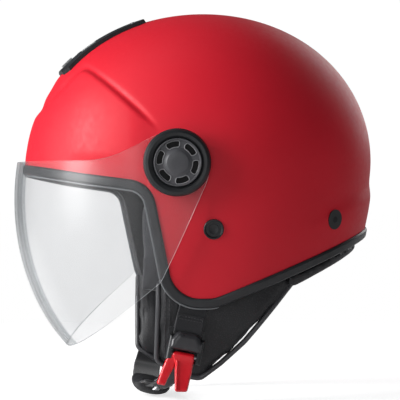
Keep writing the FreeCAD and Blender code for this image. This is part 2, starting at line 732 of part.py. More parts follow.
def web_rivet_holes(strap):
    """Holes through the webbing for the band's rivets."""
    for x, z in BAND_RIVETS:
        strap = strap.cut(hang(Part.makeCylinder(BAND_RIVET_R, 20, Vector(x, BAND_RIVET_Y, z - 10))))
    return strap


def band_rivets():
    """Two rivets that join the webbing to the toothed band."""
    rivets = []
    for x, z in BAND_RIVETS:
        shank = Part.makeCylinder(BAND_RIVET_R - 0.05, 7.6, Vector(x, BAND_RIVET_Y, z - 3.8))
        upper = Part.makeCylinder(2.6, 0.9, Vector(x, BAND_RIVET_Y, z + 2.9))
        lower = Part.makeCylinder(2.6, 0.9, Vector(x, BAND_RIVET_Y, z - 3.8))
        rivets.append(hang(fuse([shank, upper, lower])))
    return rivets


def chin_pad():
    """Padded sleeve on the webbing under the chin."""
    def sleeve(width, thick):
        return ribbon([(-34, CHIN_Y, -177), (0, CHIN_Y, CHIN_Z), (34, CHIN_Y, -177)], width, thick)
    ends = [(32, CHIN_Y, -176.2), (18, CHIN_Y, -178.6)]
    mirrored_ends = [(-x, y, z) for x, y, z in ends]
    pad = ribbon(mirrored_ends + [(0, CHIN_Y, CHIN_Z - 0.4)] + ends[::-1], 31, 10)
    return hang(pad.cut(sleeve(WEB_WIDTH + 1, WEB_THICK + 1.4)))


def buckle_body():
    """Frame with a channel for the toothed band, ears for the lever's pin and a bar for the webbing."""
    low_x = BUCKLE_X - 3.2
    high_x = LEVER_PIN_X + 3.0
    half = BUCKLE_HALF_WIDTH
    across = (BUCKLE_Y - half, BUCKLE_Y + half)
    body = box((low_x, high_x), across, (BUCKLE_FOOT, BUCKLE_TOP))
    outer_edges = [e for e in body.Edges if all(abs(v.X - high_x) < 1e-6 for v in e.Vertexes)]
    body = body.makeFillet(2.4, outer_edges)
    body = body.cut(box((BUCKLE_X - 1.3, BUCKLE_X + 2.2), (BUCKLE_Y - 7.6, BUCKLE_Y + 7.6),
                        (BUCKLE_FOOT - 1, BUCKLE_TOP + 1)))
    body = body.cut(box((BUCKLE_X + 1.0, high_x + 1), (BUCKLE_Y - 9.6, BUCKLE_Y + 9.6),
                        (BUCKLE_FOOT - 1, LEVER_PIN_Z + 4.6)))
    body = body.cut(lever_axle(LEVER_PIN_R, 40))
    bar_x = (BUCKLE_X - WEB_BAR_HALF, BUCKLE_X + WEB_BAR_HALF)
    bar_top = WEB_BAR_Z + WEB_BAR_HALF
    bar = box(bar_x, across, (bar_top - 2 * WEB_BAR_HALF, bar_top))
    arms = [box(bar_x, (BUCKLE_Y + a, BUCKLE_Y + b), (BUCKLE_TOP - 1, bar_top))
            for a, b in ((-half, -half + 2), (half - 2, half))]
    return hang(fuse([body, bar] + arms))


def lever_axle(radius, length):
    """Cylinder on the release lever's axis, centred on the buckle."""
    start = Vector(LEVER_PIN_X, BUCKLE_Y - length / 2, LEVER_PIN_Z)
    return Part.makeCylinder(radius, length, start, Y_AXIS)


def buckle_pin():
    """Pin pressed into the ears; the lever turns on it."""
    return hang(lever_axle(LEVER_PIN_R, 2 * BUCKLE_HALF_WIDTH - 0.4))


def buckle_lever():
    """Release lever: an eye on the pin and a forked finger plate below the buckle."""
    eye_half = 9.2
    eye = lever_axle(2.9, 2 * eye_half)
    neck = box((LEVER_PIN_X - 1.4, LEVER_PIN_X + 2.4), (BUCKLE_Y - eye_half, BUCKLE_Y + eye_half),
               (BUCKLE_FOOT - 2, LEVER_PIN_Z))
    plate_face = [(LEVER_PIN_X - 1.2, BUCKLE_FOOT - 1), (LEVER_PIN_X - 1.0, -166),
                  (LEVER_PIN_X + 1.5, LEVER_FOOT), (LEVER_PIN_X + 5.0, LEVER_FOOT),
                  (LEVER_PIN_X + 3.2, -166), (LEVER_PIN_X + 2.6, BUCKLE_FOOT - 1)]
    points = [Vector(x, BUCKLE_Y - 15.4, z) for x, z in plate_face]
    plate = polygon(points).extrude(Vector(0, 25.0, 0))
    notch_points = [Vector(85, BUCKLE_Y - 8.4, LEVER_FOOT - 5), Vector(85, BUCKLE_Y - 3.6, LEVER_FOOT - 5),
                    Vector(85, BUCKLE_Y - 4.6, -160.5), Vector(85, BUCKLE_Y - 6.8, -160.5)]
    notch = polygon(notch_points).extrude(Vector(30, 0, 0))
    short = box((85, 115), (BUCKLE_Y - 16, BUCKLE_Y - 6), (LEVER_FOOT - 5, LEVER_FOOT + 6.5))
    lever = fuse([eye, neck, plate]).cut(notch).cut(short)
    spring_bay = box((LEVER_PIN_X - 6, LEVER_PIN_X + 6), (BUCKLE_Y - 3.2, BUCKLE_Y + 3.2),
                     (LEVER_PIN_Z - 3.2, LEVER_PIN_Z + 4))
    lever = lever.cut(spring_bay)
    return hang(lever.cut(lever_axle(LEVER_PIN_R + RUNNING_GAP, 40)))


def buckle_spring():
    """Torsion spring coiled on the pin between the halves of the lever's eye."""
    wire_r = 0.35
    coil_r = LEVER_PIN_R + 0.2 + wire_r
    turns = 4
    pitch = 1.2
    helix = Part.makeHelix(pitch, pitch * turns, coil_r)
    section = Part.Wire(Part.makeCircle(wire_r, Vector(coil_r, 0, 0), Y_AXIS))
    spring = Part.Wire(helix).makePipeShell([section], True, True)
    place = Vector(LEVER_PIN_X, BUCKLE_Y - pitch * turns / 2, LEVER_PIN_Z)
    return hang(stand_on(spring, place, Y_AXIS))


# ==== build ===============================================================================
def write(name, shapes):
    """Writes one node: a single shape or a group of separate solids."""
    group = shapes if isinstance(shapes, list) else [shapes]
    solids = [solid for shape in group for solid in shape.Solids]
    if not solids:
        raise ValueError(name + " is empty")
    if not all(solid.isValid() for solid in solids):
        raise ValueError(name + " holds a solid that isn't valid")
    whole = solids[0] if len(solids) == 1 else Part.Compound(solids)
    whole.exportStep(os.path.join("parts", name + ".step"))


def main():
    os.makedirs("parts", exist_ok=True)
    blank = plain_shell()
    write("outer_shell", outer_shell(blank))
    write("edge_trim", edge_trim(blank))
    write("eps_liner", eps_liner())
    write("crown_liner", crown_liner())
    write("neck_roll", neck_roll())
    write("liner_snaps", liner_snaps())
    for name, sign in SIDES:
        write("cheek_pad_" + name, cheek_pad(sign))
        write("pivot_base_" + name, pivot_base(sign))
        write("pivot_ring_" + name, pivot_ring(sign))
        write("pivot_knob_" + name, pivot_knob(sign))
    write("visor_lens", visor_lens())
    write("pivot_screws", pivot_screws())
    write("pivot_t_nuts", t_nuts())
    write("detent_springs", detent_springs())
    write("vent_cover", vent_cover())
    write("vent_grille", vent_grille())
    write("vent_slider", vent_slider())
    write("vent_screws", vent_screws())
    write("anchor_caps", anchor_caps())
    write("anchor_rivets", anchor_rivets())
    write("anchor_spacers", anchor_spacers())
    write("rear_studs", rear_studs())
    write("stud_rings", stud_rings())
    write("anchor_tabs", anchor_tabs())
    write("strap_left", strap_left())
    write("strap_right", web_rivet_holes(strap_right()))
    write("ratchet_band", ratchet_band())
    write("band_rivets", band_rivets())
    write("chin_pad", chin_pad())
    write("buckle_body", buckle_body())
    write("buckle_pin", buckle_pin())
    write("buckle_lever", buckle_lever())
    write("buckle_spring", buckle_spring())


main()
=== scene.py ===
import json
import math
from contextlib import contextmanager

import bmesh
import bpy
import numpy as np
from mathutils import Matrix, Vector
from mathutils.bvhtree import BVHTree
from mathutils.geometry import delaunay_2d_cdt

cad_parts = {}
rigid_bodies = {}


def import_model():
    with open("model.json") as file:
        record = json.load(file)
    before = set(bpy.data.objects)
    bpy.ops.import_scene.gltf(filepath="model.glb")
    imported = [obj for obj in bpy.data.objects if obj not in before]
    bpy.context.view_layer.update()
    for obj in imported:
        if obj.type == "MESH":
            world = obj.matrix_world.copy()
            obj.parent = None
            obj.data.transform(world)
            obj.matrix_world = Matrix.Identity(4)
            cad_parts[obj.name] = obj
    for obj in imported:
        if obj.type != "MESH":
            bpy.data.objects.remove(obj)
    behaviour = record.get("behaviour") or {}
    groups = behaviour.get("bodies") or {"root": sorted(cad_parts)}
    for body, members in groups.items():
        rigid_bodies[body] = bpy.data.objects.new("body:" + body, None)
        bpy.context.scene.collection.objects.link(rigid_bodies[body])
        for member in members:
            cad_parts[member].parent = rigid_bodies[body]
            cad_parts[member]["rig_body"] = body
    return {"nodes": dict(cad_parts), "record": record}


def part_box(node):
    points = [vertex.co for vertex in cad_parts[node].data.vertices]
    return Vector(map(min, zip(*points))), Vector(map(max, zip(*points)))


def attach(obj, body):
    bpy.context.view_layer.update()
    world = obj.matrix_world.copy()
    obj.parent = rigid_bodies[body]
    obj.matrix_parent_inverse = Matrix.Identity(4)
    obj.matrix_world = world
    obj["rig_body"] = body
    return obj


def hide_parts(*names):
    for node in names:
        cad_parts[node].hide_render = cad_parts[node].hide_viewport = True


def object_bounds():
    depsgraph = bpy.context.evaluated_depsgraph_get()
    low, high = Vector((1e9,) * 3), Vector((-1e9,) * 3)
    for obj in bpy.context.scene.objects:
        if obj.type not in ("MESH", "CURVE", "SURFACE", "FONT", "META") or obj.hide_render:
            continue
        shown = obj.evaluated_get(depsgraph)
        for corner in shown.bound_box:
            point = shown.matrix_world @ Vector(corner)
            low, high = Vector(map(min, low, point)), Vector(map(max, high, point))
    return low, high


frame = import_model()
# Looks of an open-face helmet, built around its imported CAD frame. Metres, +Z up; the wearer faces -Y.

CAD_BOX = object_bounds()
NODES = frame["nodes"]
MM = 0.001
SIDES = (("left", 1), ("right", -1))

# ---- the dome that the shell and its layers share (same conic arcs as the CAD) ------------
SHELL_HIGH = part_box("outer_shell")[1]
HALF_WIDTH = SHELL_HIGH.x
TOP = SHELL_HIGH.z
FRONT = 139.0 * MM
REAR = 137.3 * MM
BOTTOM = 190.0 * MM
SWEEP_BACK = 0.03         # metres back per metre up
TOP_WEIGHT = 0.73
PLAN_WEIGHT = 0.73
BOTTOM_WEIGHT = 0.95
SHELL_WALL = 3.0 * MM

# rim seen from the side: (y, z, corner radius) in millimetres, brow to nape
RIM = ((-200, 10.5, 0), (-100, -7.6, 180), (-49.5, -14.5, 22), (-31.0, -102.5, 24), (-1.0, -102.5, 26),
       (200, -22.5, 0))
RIM_COLUMNS = 300         # points along each half of the rim
TRIM_HEIGHT = 8.5 * MM
# the trim's section: (down from the shell's edge, out, corner radius) in millimetres
TRIM_SECTION = ((0.0, -0.4, 0), (0.0, 1.0, 0.6), (1.6, 1.8, 1.0), (6.6, 1.8, 1.8), (8.5, -0.6, 2.0),
                (8.5, -3.8, 1.8), (6.6, -5.8, 1.6), (1.6, -5.8, 0.8), (1.0, -4.4, 0.4))
EDGE_INSIDE_TRIM = 6.0 * MM

# ---- shell relief --------------------------------------------------------------------------
APEX = (-95.0 * MM, 74.4 * MM)                # (y, z) of the top of the brow panel's outline
APEX_ROUND = 3 * MM
PANEL_SLOPE = 0.99
PANEL_HEIGHT = 2.0 * MM
VALLEY_DEPTH = 1.3 * MM                       # crease along the panel's edge
VALLEY_BELOW = 2.6 * MM
VALLEY_WIDTH = 1.9 * MM
BROW_SET_BACK = 1.2 * MM
RIDGE_HEIGHT = 1.3 * MM
RIDGE_TO_RIM = 19 * MM
WAIST_DEPTH = 0.4 * MM
SOCKET = (79.2 * MM, 95 * MM, -43 * MM)       # snap socket near the nape
SOCKET_R = 5.0 * MM
VENT_BED_HALF_WIDTH = 17 * MM                 # patch under the vent cover in a near-black painted shade, for the vent opening that the drawn shell lacks
VENT_BED_Y = (-108.5 * MM, -52 * MM)

# ---- visor -------------------------------------------------------------------------------
PIVOT = Vector((0, -31.5 * MM, 0))
VISOR_REACH = 116.0 * MM
VISOR_HALF_WIDTH = 118.5 * MM
VISOR_WALL = 2.2 * MM
VISOR_FLAT = 24.0 * MM
VISOR_BULGE_Z = -28.0 * MM
VISOR_BULGE_R = 150.0 * MM
VISOR_TAPER_Z = -40.0 * MM
VISOR_TAPER_R = 133.0 * MM
VISOR_FACET = 2.6 * MM
QUARTER = 150.0 * MM      # length given to the front quarter of the visor when it is laid flat
HOLE_R = 9.05 * MM
VISOR_OUTLINE = ((-170, 1.8, 0), (-84, 1.8, 60), (-38, 25.0, 22), (-3.0, 3.0, 20), (-9.8, -17.0, 14),
                 (-42.5, -90.0, 16), (-109.0, -146.0, 0), (-170, -146.0, 0))

# ---- soft goods: (y, z, corner radius) of the flap that hangs below each cheek ----------------
FLAP = ((-43, -84, 4), (-43.5, -120, 60), (-44, -151, 7), (-26, -163.5, 16), (-8, -166.5, 8), (8, -154.5, 20),
        (26, -138, 30), (68, -88, 4), (66, -80, 4))
FLAP_GROWTH = 1.2 * MM    # lost again when the cover relaxes
PIPING_R = 2.1 * MM
PIPING_INSET = 1.7 * MM
PIPING_TOP_Z = -90 * MM
HEM_INSET = 6.0 * MM
SEAM_Y = (-36.5 * MM, -33.5 * MM)             # twin seams of the channel along the flap's front edge
SEAM_Z = (-0.1, -0.154)
CUSHION_LOW_Z = -107 * MM
LINING_OUTSIDE = 26.6 * MM                    # depths below the shell's outer face
LINING_INSIDE = 34.0 * MM
LINING_LOW_Z = -22.0 * MM
DEEP_LAYER = 30 * MM

# ---- chin strap, measured hanging straight down and then leant forward about the anchors ------
ANCHOR = Vector((0, -2.8, -50)) * MM
STRAP_LEAN = math.radians(11.7)
WEB_WIDTH = 22.0 * MM
WEB_THICK = 1.7 * MM
WEB_LIP = 0.9 * MM
BUCKLE_Y = -4.0           # millimetres, as all stations below
TOP_LOOP = [(95.9, -2.8, -88), (96.0, -2.8, -82), (96.4, -2.8, -74), (97.4, -2.8, -70.2), (99, -2.8, -68.7),
            (100.7, -2.8, -70.4), (101.2, -2.8, -74), (100.2, -2.8, -78.5), (95.6, -2.8, -91),
            (91.0, -2.8, -101), (88.8, -2.8, -108), (88.6, -3.0, -114)]
LEFT_RUN = [(88.9, -3.5, -121), (89.3, BUCKLE_Y, -128.5), (90.2, BUCKLE_Y, -131.4), (92, BUCKLE_Y, -132.4),
            (93.8, BUCKLE_Y, -131.4), (94.6, BUCKLE_Y, -128.5), (93.4, -3.8, -124.5), (91.3, -3.6, -121),
            (90.6, -3.4, -117.6)]
RIGHT_RUN = [(90, -4.8, -134), (88.6, -6.8, -150), (83.5, -9, -165), (75, -10.4, -169.5), (62, -11.5, -173.4),
             (34, -13.8, -177), (0, -13.8, -179), (-34, -13.8, -177), (-50, -12.8, -174.2)]
BAND_RUN = [(36, -13.8, -179.0), (50, -12.8, -176.6), (66, -10.5, -172.2), (80, -7.0, -165.4),
            (88.5, -5.2, -159.4), (91.4, -4.3, -155.9), (92, -4, -152.5), (92, -4, -134.3)]
CHIN_RUN = [(-33, -13.8, -176.4), (-18, -13.8, -178.8), (0, -13.8, -179.6), (18, -13.8, -178.8),
            (33, -13.8, -176.4)]
# half of the toothed band's section, (across, out, 1 where a tooth rises); the other half mirrors it
BAND_HALF = ((7.0, 0.5, 0), (6.6, 0.8, 0), (5.2, 0.8, 0), (5.0, 0.8, 1))
TOOTH_PITCH = 2.4 * MM
TOOTH_HEIGHT = 0.75 * MM
SMOOTH_BAND = 18 * MM     # stretch of band before the first tooth

# ---- buckle, seen from the side ----------------------------------------------------------------
BUCKLE_COVER = ((-16.4, -144.4, 1.5), (-16.4, -137, 4), (-12.0, -130.2, 5), (4.0, -130.2, 5), (8.4, -137, 4),
                (8.4, -144.4, 1.5))
BUCKLE_COVER_X = (94.2 * MM, 102.4 * MM)
LEVER_PLATE = ((-15.0, -146.2, 2.5), (4.4, -146.2, 2.2), (4.4, -160, 20), (3.8, -174.2, 2), (-5.6, -175.9, 2),
               (-8.4, -162, 8), (-9.6, -156, 1.4))
LEVER_LEG = ((-15.8, -148.2, 2), (-9.0, -148.0, 1), (-9.4, -158, 6), (-12.6, -167.5, 6), (-13.4, -172.9, 1.5),
             (-20.2, -172.9, 1.2), (-20.0, -170.4, 1.0), (-18.6, -162, 8))
PLATE_FACE = (100.0, 102.2)                   # distance out of the lever's face at its top and foot
LEG_FACE = (99.2, 100.6)
LEVER_THICK = (3.8, 3.4)
LEVER_TOP_Z = -150 * MM
LEVER_KICK = 25 * MM      # height over which the lever kicks out

# ---- knobs and plugs: profiles of (radius, depth or height) in millimetres ---------------------
KNOB_FACE = 126.0 * MM
KNOB = ((0.02, 0.0), (4.0, 0.0), (7.9, 0.0), (8.15, 0.08), (8.3, 0.25), (10.9, 1.5), (11.2, 1.6),
        (11.28, 1.6), (11.32, 1.6), (12.5, 1.6), (14.0, 1.6), (15.2, 1.6), (16.08, 1.6), (16.12, 1.6),
        (16.4, 1.6), (16.7, 0.5), (16.9, 0.3), (17.5, 0.25), (17.75, 0.4), (17.9, 0.8), (17.9, 6.3),
        (4.0, 6.3), (4.0, 12.0), (0.02, 12.0))
WINDOWS = 6
WINDOW_PITCH = 2 * math.pi / WINDOWS
WINDOW_R = (11.3 * MM, 16.1 * MM)
WINDOW_HALF = math.radians(21.5)
WINDOW_DEPTH = 4.2 * MM
WINDOW_FACE = 1.55 * MM
END_ROUND = 0.55          # how far a window's end bulges, as a share of a half circle
PLUG = ((0.02, 0.25), (3.2, 0.25), (3.5, 0.4), (3.9, 0.4), (4.1, 0.15), (5.7, 0.15), (6.1, 0.4), (6.4, 1.05),
        (6.8, 1.3), (7.3, 1.2), (7.65, 0.8), (7.7, 0.3), (7.7, -2.0), (0.02, -2.0))


# ==== lines ===============================================================================
def unit(vectors):
    """Vectors scaled to length 1."""
    return vectors / np.maximum(np.linalg.norm(vectors, axis=-1, keepdims=True), 1e-12)


def smooth(x, low, high):
    """Smooth step from 0 at low to 1 at high."""
    t = np.clip((x - low) / (high - low), 0, 1)
    return t * t * (3 - 2 * t)


def bell(x, width):
    """Bell curve that is 1 at 0."""
    return np.exp(-(x / width) ** 2)


def lengths_along(line):
    """Distance of each point of a line from its start."""
    return np.concatenate(([0], np.cumsum(np.linalg.norm(np.diff(line, axis=0), axis=1))))


def points_at(line, places):
    """Points of a line at given distances from its start."""
    lengths = lengths_along(line)
    return np.column_stack([np.interp(places, lengths, column) for column in line.T])


def even_out(line, times):
    """Takes the small steps out of a line and holds its ends."""
    line = line.copy()
    for _ in range(times):
        line[1:-1] = (line[:-2] + 2 * line[1:-1] + line[2:]) / 4
    return line


def round_corners(corners, closed, arc_points):
    """Points along a line with rounded corners (a, b, radius). arc_points(length) is the count for an arc."""
    points = np.array(corners, float)[:, :2]
    count = len(points)
    path = []
    for i, here in enumerate(points):
        radius = corners[i][2]
        if radius == 0 or (not closed and i in (0, count - 1)):
            path.append(here)
            continue
        to_last = unit(points[i - 1] - here)
        to_next = unit(points[(i + 1) % count] - here)
        half = math.acos(np.clip(to_last @ to_next, -1, 1)) / 2
        centre = here + unit(to_last + to_next) * (radius / math.sin(half))
        start = here + to_last * (radius / math.tan(half)) - centre
        end = here + to_next * (radius / math.tan(half)) - centre
        turn = math.atan2(start[0] * end[1] - start[1] * end[0], start @ end)
        for t in np.linspace(0, 1, arc_points(abs(turn) * radius)):
            c, s = math.cos(turn * t), math.sin(turn * t)
            path.append(centre + np.array((c * start[0] - s * start[1], s * start[0] + c * start[1])))
    return np.array(path)


def rounded_path(corners, step=0.5, closed=False):
    """Even (y, z) points, in metres, along a line with rounded corners given in millimetres."""
    path = round_corners(corners, closed, lambda length: max(3, int(length / step)))
    if closed:
        path = np.vstack((path, path[:1]))
    return points_at(path, np.arange(0, lengths_along(path)[-1], step)) * MM


def beside(line, run, distance):
    """A (y, z) line moved sideways from its run: to the right of it."""
    return line + distance * np.column_stack((run[:, 1], -run[:, 0]))


def grow_path(path, grow):
    """An open rim path moved away from the shell (down and forwards)."""
    return beside(path, unit(np.gradient(path, axis=0)), grow)


def grow_loop(loop, grow):
    """A closed (y, z) loop moved outwards."""
    run = unit(np.roll(loop, -1, axis=0) - np.roll(loop, 1, axis=0))
    area = np.sum(loop[:, 0] * np.roll(loop[:, 1], -1) - np.roll(loop[:, 0], -1) * loop[:, 1])
    return beside(loop, run, grow * np.sign(area))


def mirror_loop(half):
    """A closed loop from its left half, whose ends lie on the middle plane."""
    right = half[1:-1][::-1].copy()
    right[..., 0] *= -1
    return np.concatenate((half, right))


def curve_through(stations, step):
    """Even points, in metres, along a smooth curve through stations in millimetres."""
    stations = np.array(stations, float) * MM
    p = np.vstack((2 * stations[0] - stations[1], stations, 2 * stations[-1] - stations[-2]))
    fine = []
    for i in range(1, len(p) - 2):
        for t in np.linspace(0, 1, 24, endpoint=False):
            a = 2 * p[i]
            b = p[i + 1] - p[i - 1]
            c = 2 * p[i - 1] - 5 * p[i] + 4 * p[i + 1] - p[i + 2]
            d = 3 * p[i] - p[i - 1] - 3 * p[i + 1] + p[i + 2]
            fine.append((a + b * t + c * t * t + d * t ** 3) / 2)
    fine = np.array(fine + [p[-2]])
    total = lengths_along(fine)[-1]
    return points_at(fine, np.linspace(0, total, max(2, int(total / step) + 1)))


def side_normals(line):
    """Unit normals of a line, square to Y."""
    run = np.gradient(line, axis=0)
    run[:, 1] = 0
    run = unit(run)
    return np.column_stack((-run[:, 2], np.zeros(len(run)), run[:, 0]))


def lean(points):
    """Turns the chin strap's points forward about the anchors, from hanging to how it is worn."""
    points = np.asarray(points, float)
    c, s = math.cos(STRAP_LEAN), math.sin(STRAP_LEAN)
    y = points[..., 1] - ANCHOR.y
    z = points[..., 2] - ANCHOR.z
    return np.stack((points[..., 0], ANCHOR.y + y * c + z * s, ANCHOR.z - y * s + z * c), axis=-1)


def distance_to(points, loop):
    """Distance from each point to a closed dense loop."""
    return np.array([np.min(np.linalg.norm(loop - point, axis=1)) for point in points])


# ==== the dome ============================================================================
def conic(b, weight):
    """Other coordinate of a quarter conic arc in a unit box."""
    b = np.clip(b, 0.0, 1.0)
    k = 4 * weight ** 2 * (1 - b)
    p = 2 * (b - 1) + k
    q = (b - 1) ** 2 - k
    return (-p + np.sqrt(np.maximum(p * p - 4 * q, 0.0))) / 2


def dome_x(y, z, offset=0.0):
    """Half-width of the dome at places in the side view, or a negative number outside it."""
    height = np.where(z > 0, TOP, BOTTOM) - offset
    share = conic(np.abs(z) / height, np.where(z > 0, TOP_WEIGHT, BOTTOM_WEIGHT))
    from_middle = y - SWEEP_BACK * z
    length = np.where(from_middle > 0, REAR, FRONT) - offset
    along = np.abs(from_middle) / (length * share)
    return np.where(along < 1, (HALF_WIDTH - offset) * share * conic(along, PLAN_WEIGHT), -1.0)


def dome_normal(y, z):
    """Unit outward normal of the shell's left side at a place in the side view."""
    h = 0.5 * MM
    slope_y = (dome_x(y + h, z) - dome_x(y - h, z)) / (2 * h)
    slope_z = (dome_x(y, z + h) - dome_x(y, z - h)) / (2 * h)
    return Vector((1, -slope_y, -slope_z)).normalized()


def dome_radius(angle, offset=0.0):
    """Plan radius of the dome at its widest, at an angle from the front."""
    side = np.abs(np.sin(angle)) / (HALF_WIDTH - offset)
    fore = np.abs(np.cos(angle)) / (np.where(np.cos(angle) > 0, FRONT, REAR) - offset)
    a = (side + fore) ** 2 - 4 * PLAN_WEIGHT ** 2 * side * fore
    b = (side + fore) * (4 * PLAN_WEIGHT ** 2 - 2)
    c = 1 - 4 * PLAN_WEIGHT ** 2
    return (-b + np.sqrt(b * b - 4 * a * c)) / (2 * a)


def dome_point(angle, sweep, offset=0.0):
    """Point at a plan angle from the front (towards the left) and a sweep down from the crown, in radians."""
    angle, sweep = np.broadcast_arrays(angle, sweep)
    upper = sweep < math.pi / 2
    height = np.where(upper, TOP, BOTTOM) - offset
    z = height * np.where(upper, np.cos(sweep), -np.sin(sweep - math.pi / 2))
    share = conic(np.abs(z) / height, np.where(upper, TOP_WEIGHT, BOTTOM_WEIGHT))
    radius = dome_radius(angle, offset) * share
    return np.stack((radius * np.sin(angle), -radius * np.cos(angle) + SWEEP_BACK * z, z), axis=-1)


def dome_angles(points):
    """Plan angle and sweep of points on the shell."""
    x, y, z = points[..., 0], points[..., 1], points[..., 2]
    angle = np.arctan2(x, -(y - SWEEP_BACK * z))
    upper = np.arccos(np.clip(z / TOP, -1, 1))
    lower = math.pi / 2 + np.arcsin(np.clip(-z / BOTTOM, -1, 1))
    return angle, np.where(z > 0, upper, lower)


def edge_crossing(inner, outer):
    """Point of the middle plane where the line between two (y, z) points leaves the dome."""
    low, high = 0.0, 1.0
    for _ in range(30):
        mid = (low + high) / 2
        at = inner * (1 - mid) + outer * mid
        if dome_x(at[0], at[1]) > 0:
            low = mid
        else:
            high = mid
    at = inner * (1 - low) + outer * low
    return np.array((0.0, at[0], at[1]))


def rim_line(grow, count):
    """Points along the left half of the rim, from the middle of the brow to the middle of the nape."""
    path = grow_path(rounded_path(RIM), grow)
    x = dome_x(path[:, 0], path[:, 1])
    inside = np.nonzero(x > 0)[0]
    first, last = inside[0], inside[-1]
    line = np.column_stack((x, path))[first:last + 1]
    line = np.vstack((edge_crossing(path[first], path[first - 1]), line,
                      edge_crossing(path[last], path[last + 1])))
    return points_at(line, np.linspace(0, lengths_along(line)[-1], count))


def rim_frames():
    """Rim stations: points on the shell, unit directions down across the trim, and outward normals."""
    upper = rim_line(0.0, RIM_COLUMNS)
    fine = rim_line(TRIM_HEIGHT, 4000)
    lower = np.array([fine[np.argmin(np.sum((fine - point) ** 2, axis=1))] for point in upper])
    lower[[0, -1], 0] = 0.0
    lower = mirror_loop(even_out(lower, 6))
    upper = mirror_loop(upper)
    down = unit(lower - upper)
    along = np.roll(upper, -1, axis=0) - np.roll(upper, 1, axis=0)
    out = unit(np.cross(along, down))
    out *= np.sign(np.sum(out * upper * np.array((1, 1, 0.01)), axis=1))[:, None]
    return upper, down, out


# ==== meshes ==============================================================================
def new_object(name, vertices, faces, body, materials):
    """A smooth-shaded mesh object that rides on a body."""
    mesh = bpy.data.meshes.new(name)
    mesh.from_pydata([tuple(v) for v in vertices], [], faces)
    mesh.update()
    for material in materials:
        mesh.materials.append(material)
    mesh.polygons.foreach_set("use_smooth", [True] * len(mesh.polygons))
    obj = bpy.data.objects.new(name, mesh)
    bpy.context.scene.collection.objects.link(obj)
    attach(obj, body)
    return obj


def register(obj, replaced=None):
    """Hides the CAD node that a drawn piece replaces, if one is named; the piece itself is not used."""
    if replaced:
        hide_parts(replaced)


@contextmanager
def editing(obj):
    """An object's mesh opened for editing, and written back afterwards."""
    bm = bmesh.new()
    bm.from_mesh(obj.data)
    yield bm
    bm.to_mesh(obj.data)
    bm.free()


def face_outward(obj, weld=0.0):
    """Turns a mesh's faces outwards, after joining points that lie within the weld distance."""
    with editing(obj) as bm:
        if weld:
            bmesh.ops.remove_doubles(bm, verts=bm.verts[:], dist=weld)
        bmesh.ops.recalc_face_normals(bm, faces=bm.faces[:])
        if bm.calc_volume(signed=True) < 0:
            bmesh.ops.reverse_faces(bm, faces=bm.faces[:])


def grid_faces(columns, rows, wrap_columns=False, wrap_rows=False):
    """Quads of a grid whose vertex index is column * rows + row."""
    faces = []
    for i in range(columns if wrap_columns else columns - 1):
        n = (i + 1) % columns
        for j in range(rows if wrap_rows else rows - 1):
            m = (j + 1) % rows
            faces.append((i * rows + j, i * rows + m, n * rows + m, n * rows + j))
    return faces


def flipped(faces, shift):
    """The same faces turned over, for a second skin whose points start at shift."""
    return [tuple(i + shift for i in reversed(face)) for face in faces]


def loft(name, stacks, body, material, ring_closes=False):
    """One mesh from stacks of rings, each stack capped at its ends or closed into a loop."""
    vertices, faces = [], []
    for rings in stacks:
        base = len(vertices)
        count, size = rings.shape[:2]
        part = grid_faces(count, size, wrap_columns=ring_closes, wrap_rows=True)
        if not ring_closes:
            part += [tuple(range(size)), tuple(range((count - 1) * size, count * size))[::-1]]
        faces += [tuple(base + i for i in face) for face in part]
        vertices += list(rings.reshape(-1, 3))
    obj = new_object(name, vertices, faces, body, [material])
    face_outward(obj)
    return obj


def cords(name, lines, radius, body, material, sides=6, rounded=True):
    """Round cords along several lines, as one mesh."""
    turn = 2 * math.pi * np.arange(sides)[:, None] / sides
    stacks = []
    for line in lines:
        line = np.array(line, float)
        run = unit(np.gradient(line, axis=0))
        side = unit(np.cross(run, (1.0, 0.0, 0.0) if abs(run[0][0]) < 0.8 else (0.0, 1.0, 0.0)))
        up = np.cross(side, run)
        thick = np.full((len(line), 1, 1), radius)
        if rounded:
            thick[[0, -1]] *= 0.55
        stacks.append(line[:, None] + thick * (np.cos(turn) * side[:, None] + np.sin(turn) * up[:, None]))
    return loft(name, stacks, body, material)


def vertex_array(mesh):
    """Vertex places as an array."""
    co = np.empty(len(mesh.vertices) * 3, np.float32)
    mesh.vertices.foreach_get("co", co)
    return co.reshape(-1, 3).astype(float)


def move_vertices(mesh, places):
    """Puts a mesh's vertices at new places."""
    mesh.vertices.foreach_set("co", places.ravel())
    mesh.update()


def apply_modifiers(obj):
    """Bakes an object's modifiers into its mesh."""
    evaluated = obj.evaluated_get(bpy.context.evaluated_depsgraph_get())
    mesh = bpy.data.meshes.new_from_object(evaluated)
    old = obj.data
    obj.modifiers.clear()
    obj.data = mesh
    mesh.name = obj.name
    bpy.data.meshes.remove(old)


def bevel(obj, width):
    """Rounded edges, so that they catch the light."""
    modifier = obj.modifiers.new("edge_rounding", "BEVEL")
    modifier.width = width
    modifier.segments = 3
    modifier.limit_method = "ANGLE"
    modifier.angle_limit = math.radians(30)
    modifier.harden_normals = False


def inside_outline(y, z, outline):
    """True where points lie inside a closed outline."""
    inside = np.zeros(y.shape, bool)
    for (y0, z0), (y1, z1) in zip(outline, np.roll(outline, -1, axis=0)):
        if z1 != z0:
            crosses = (z0 > z) != (z1 > z)
            inside ^= crosses & (y < (y1 - y0) * (z - z0) / (z1 - z0) + y0)
    return inside


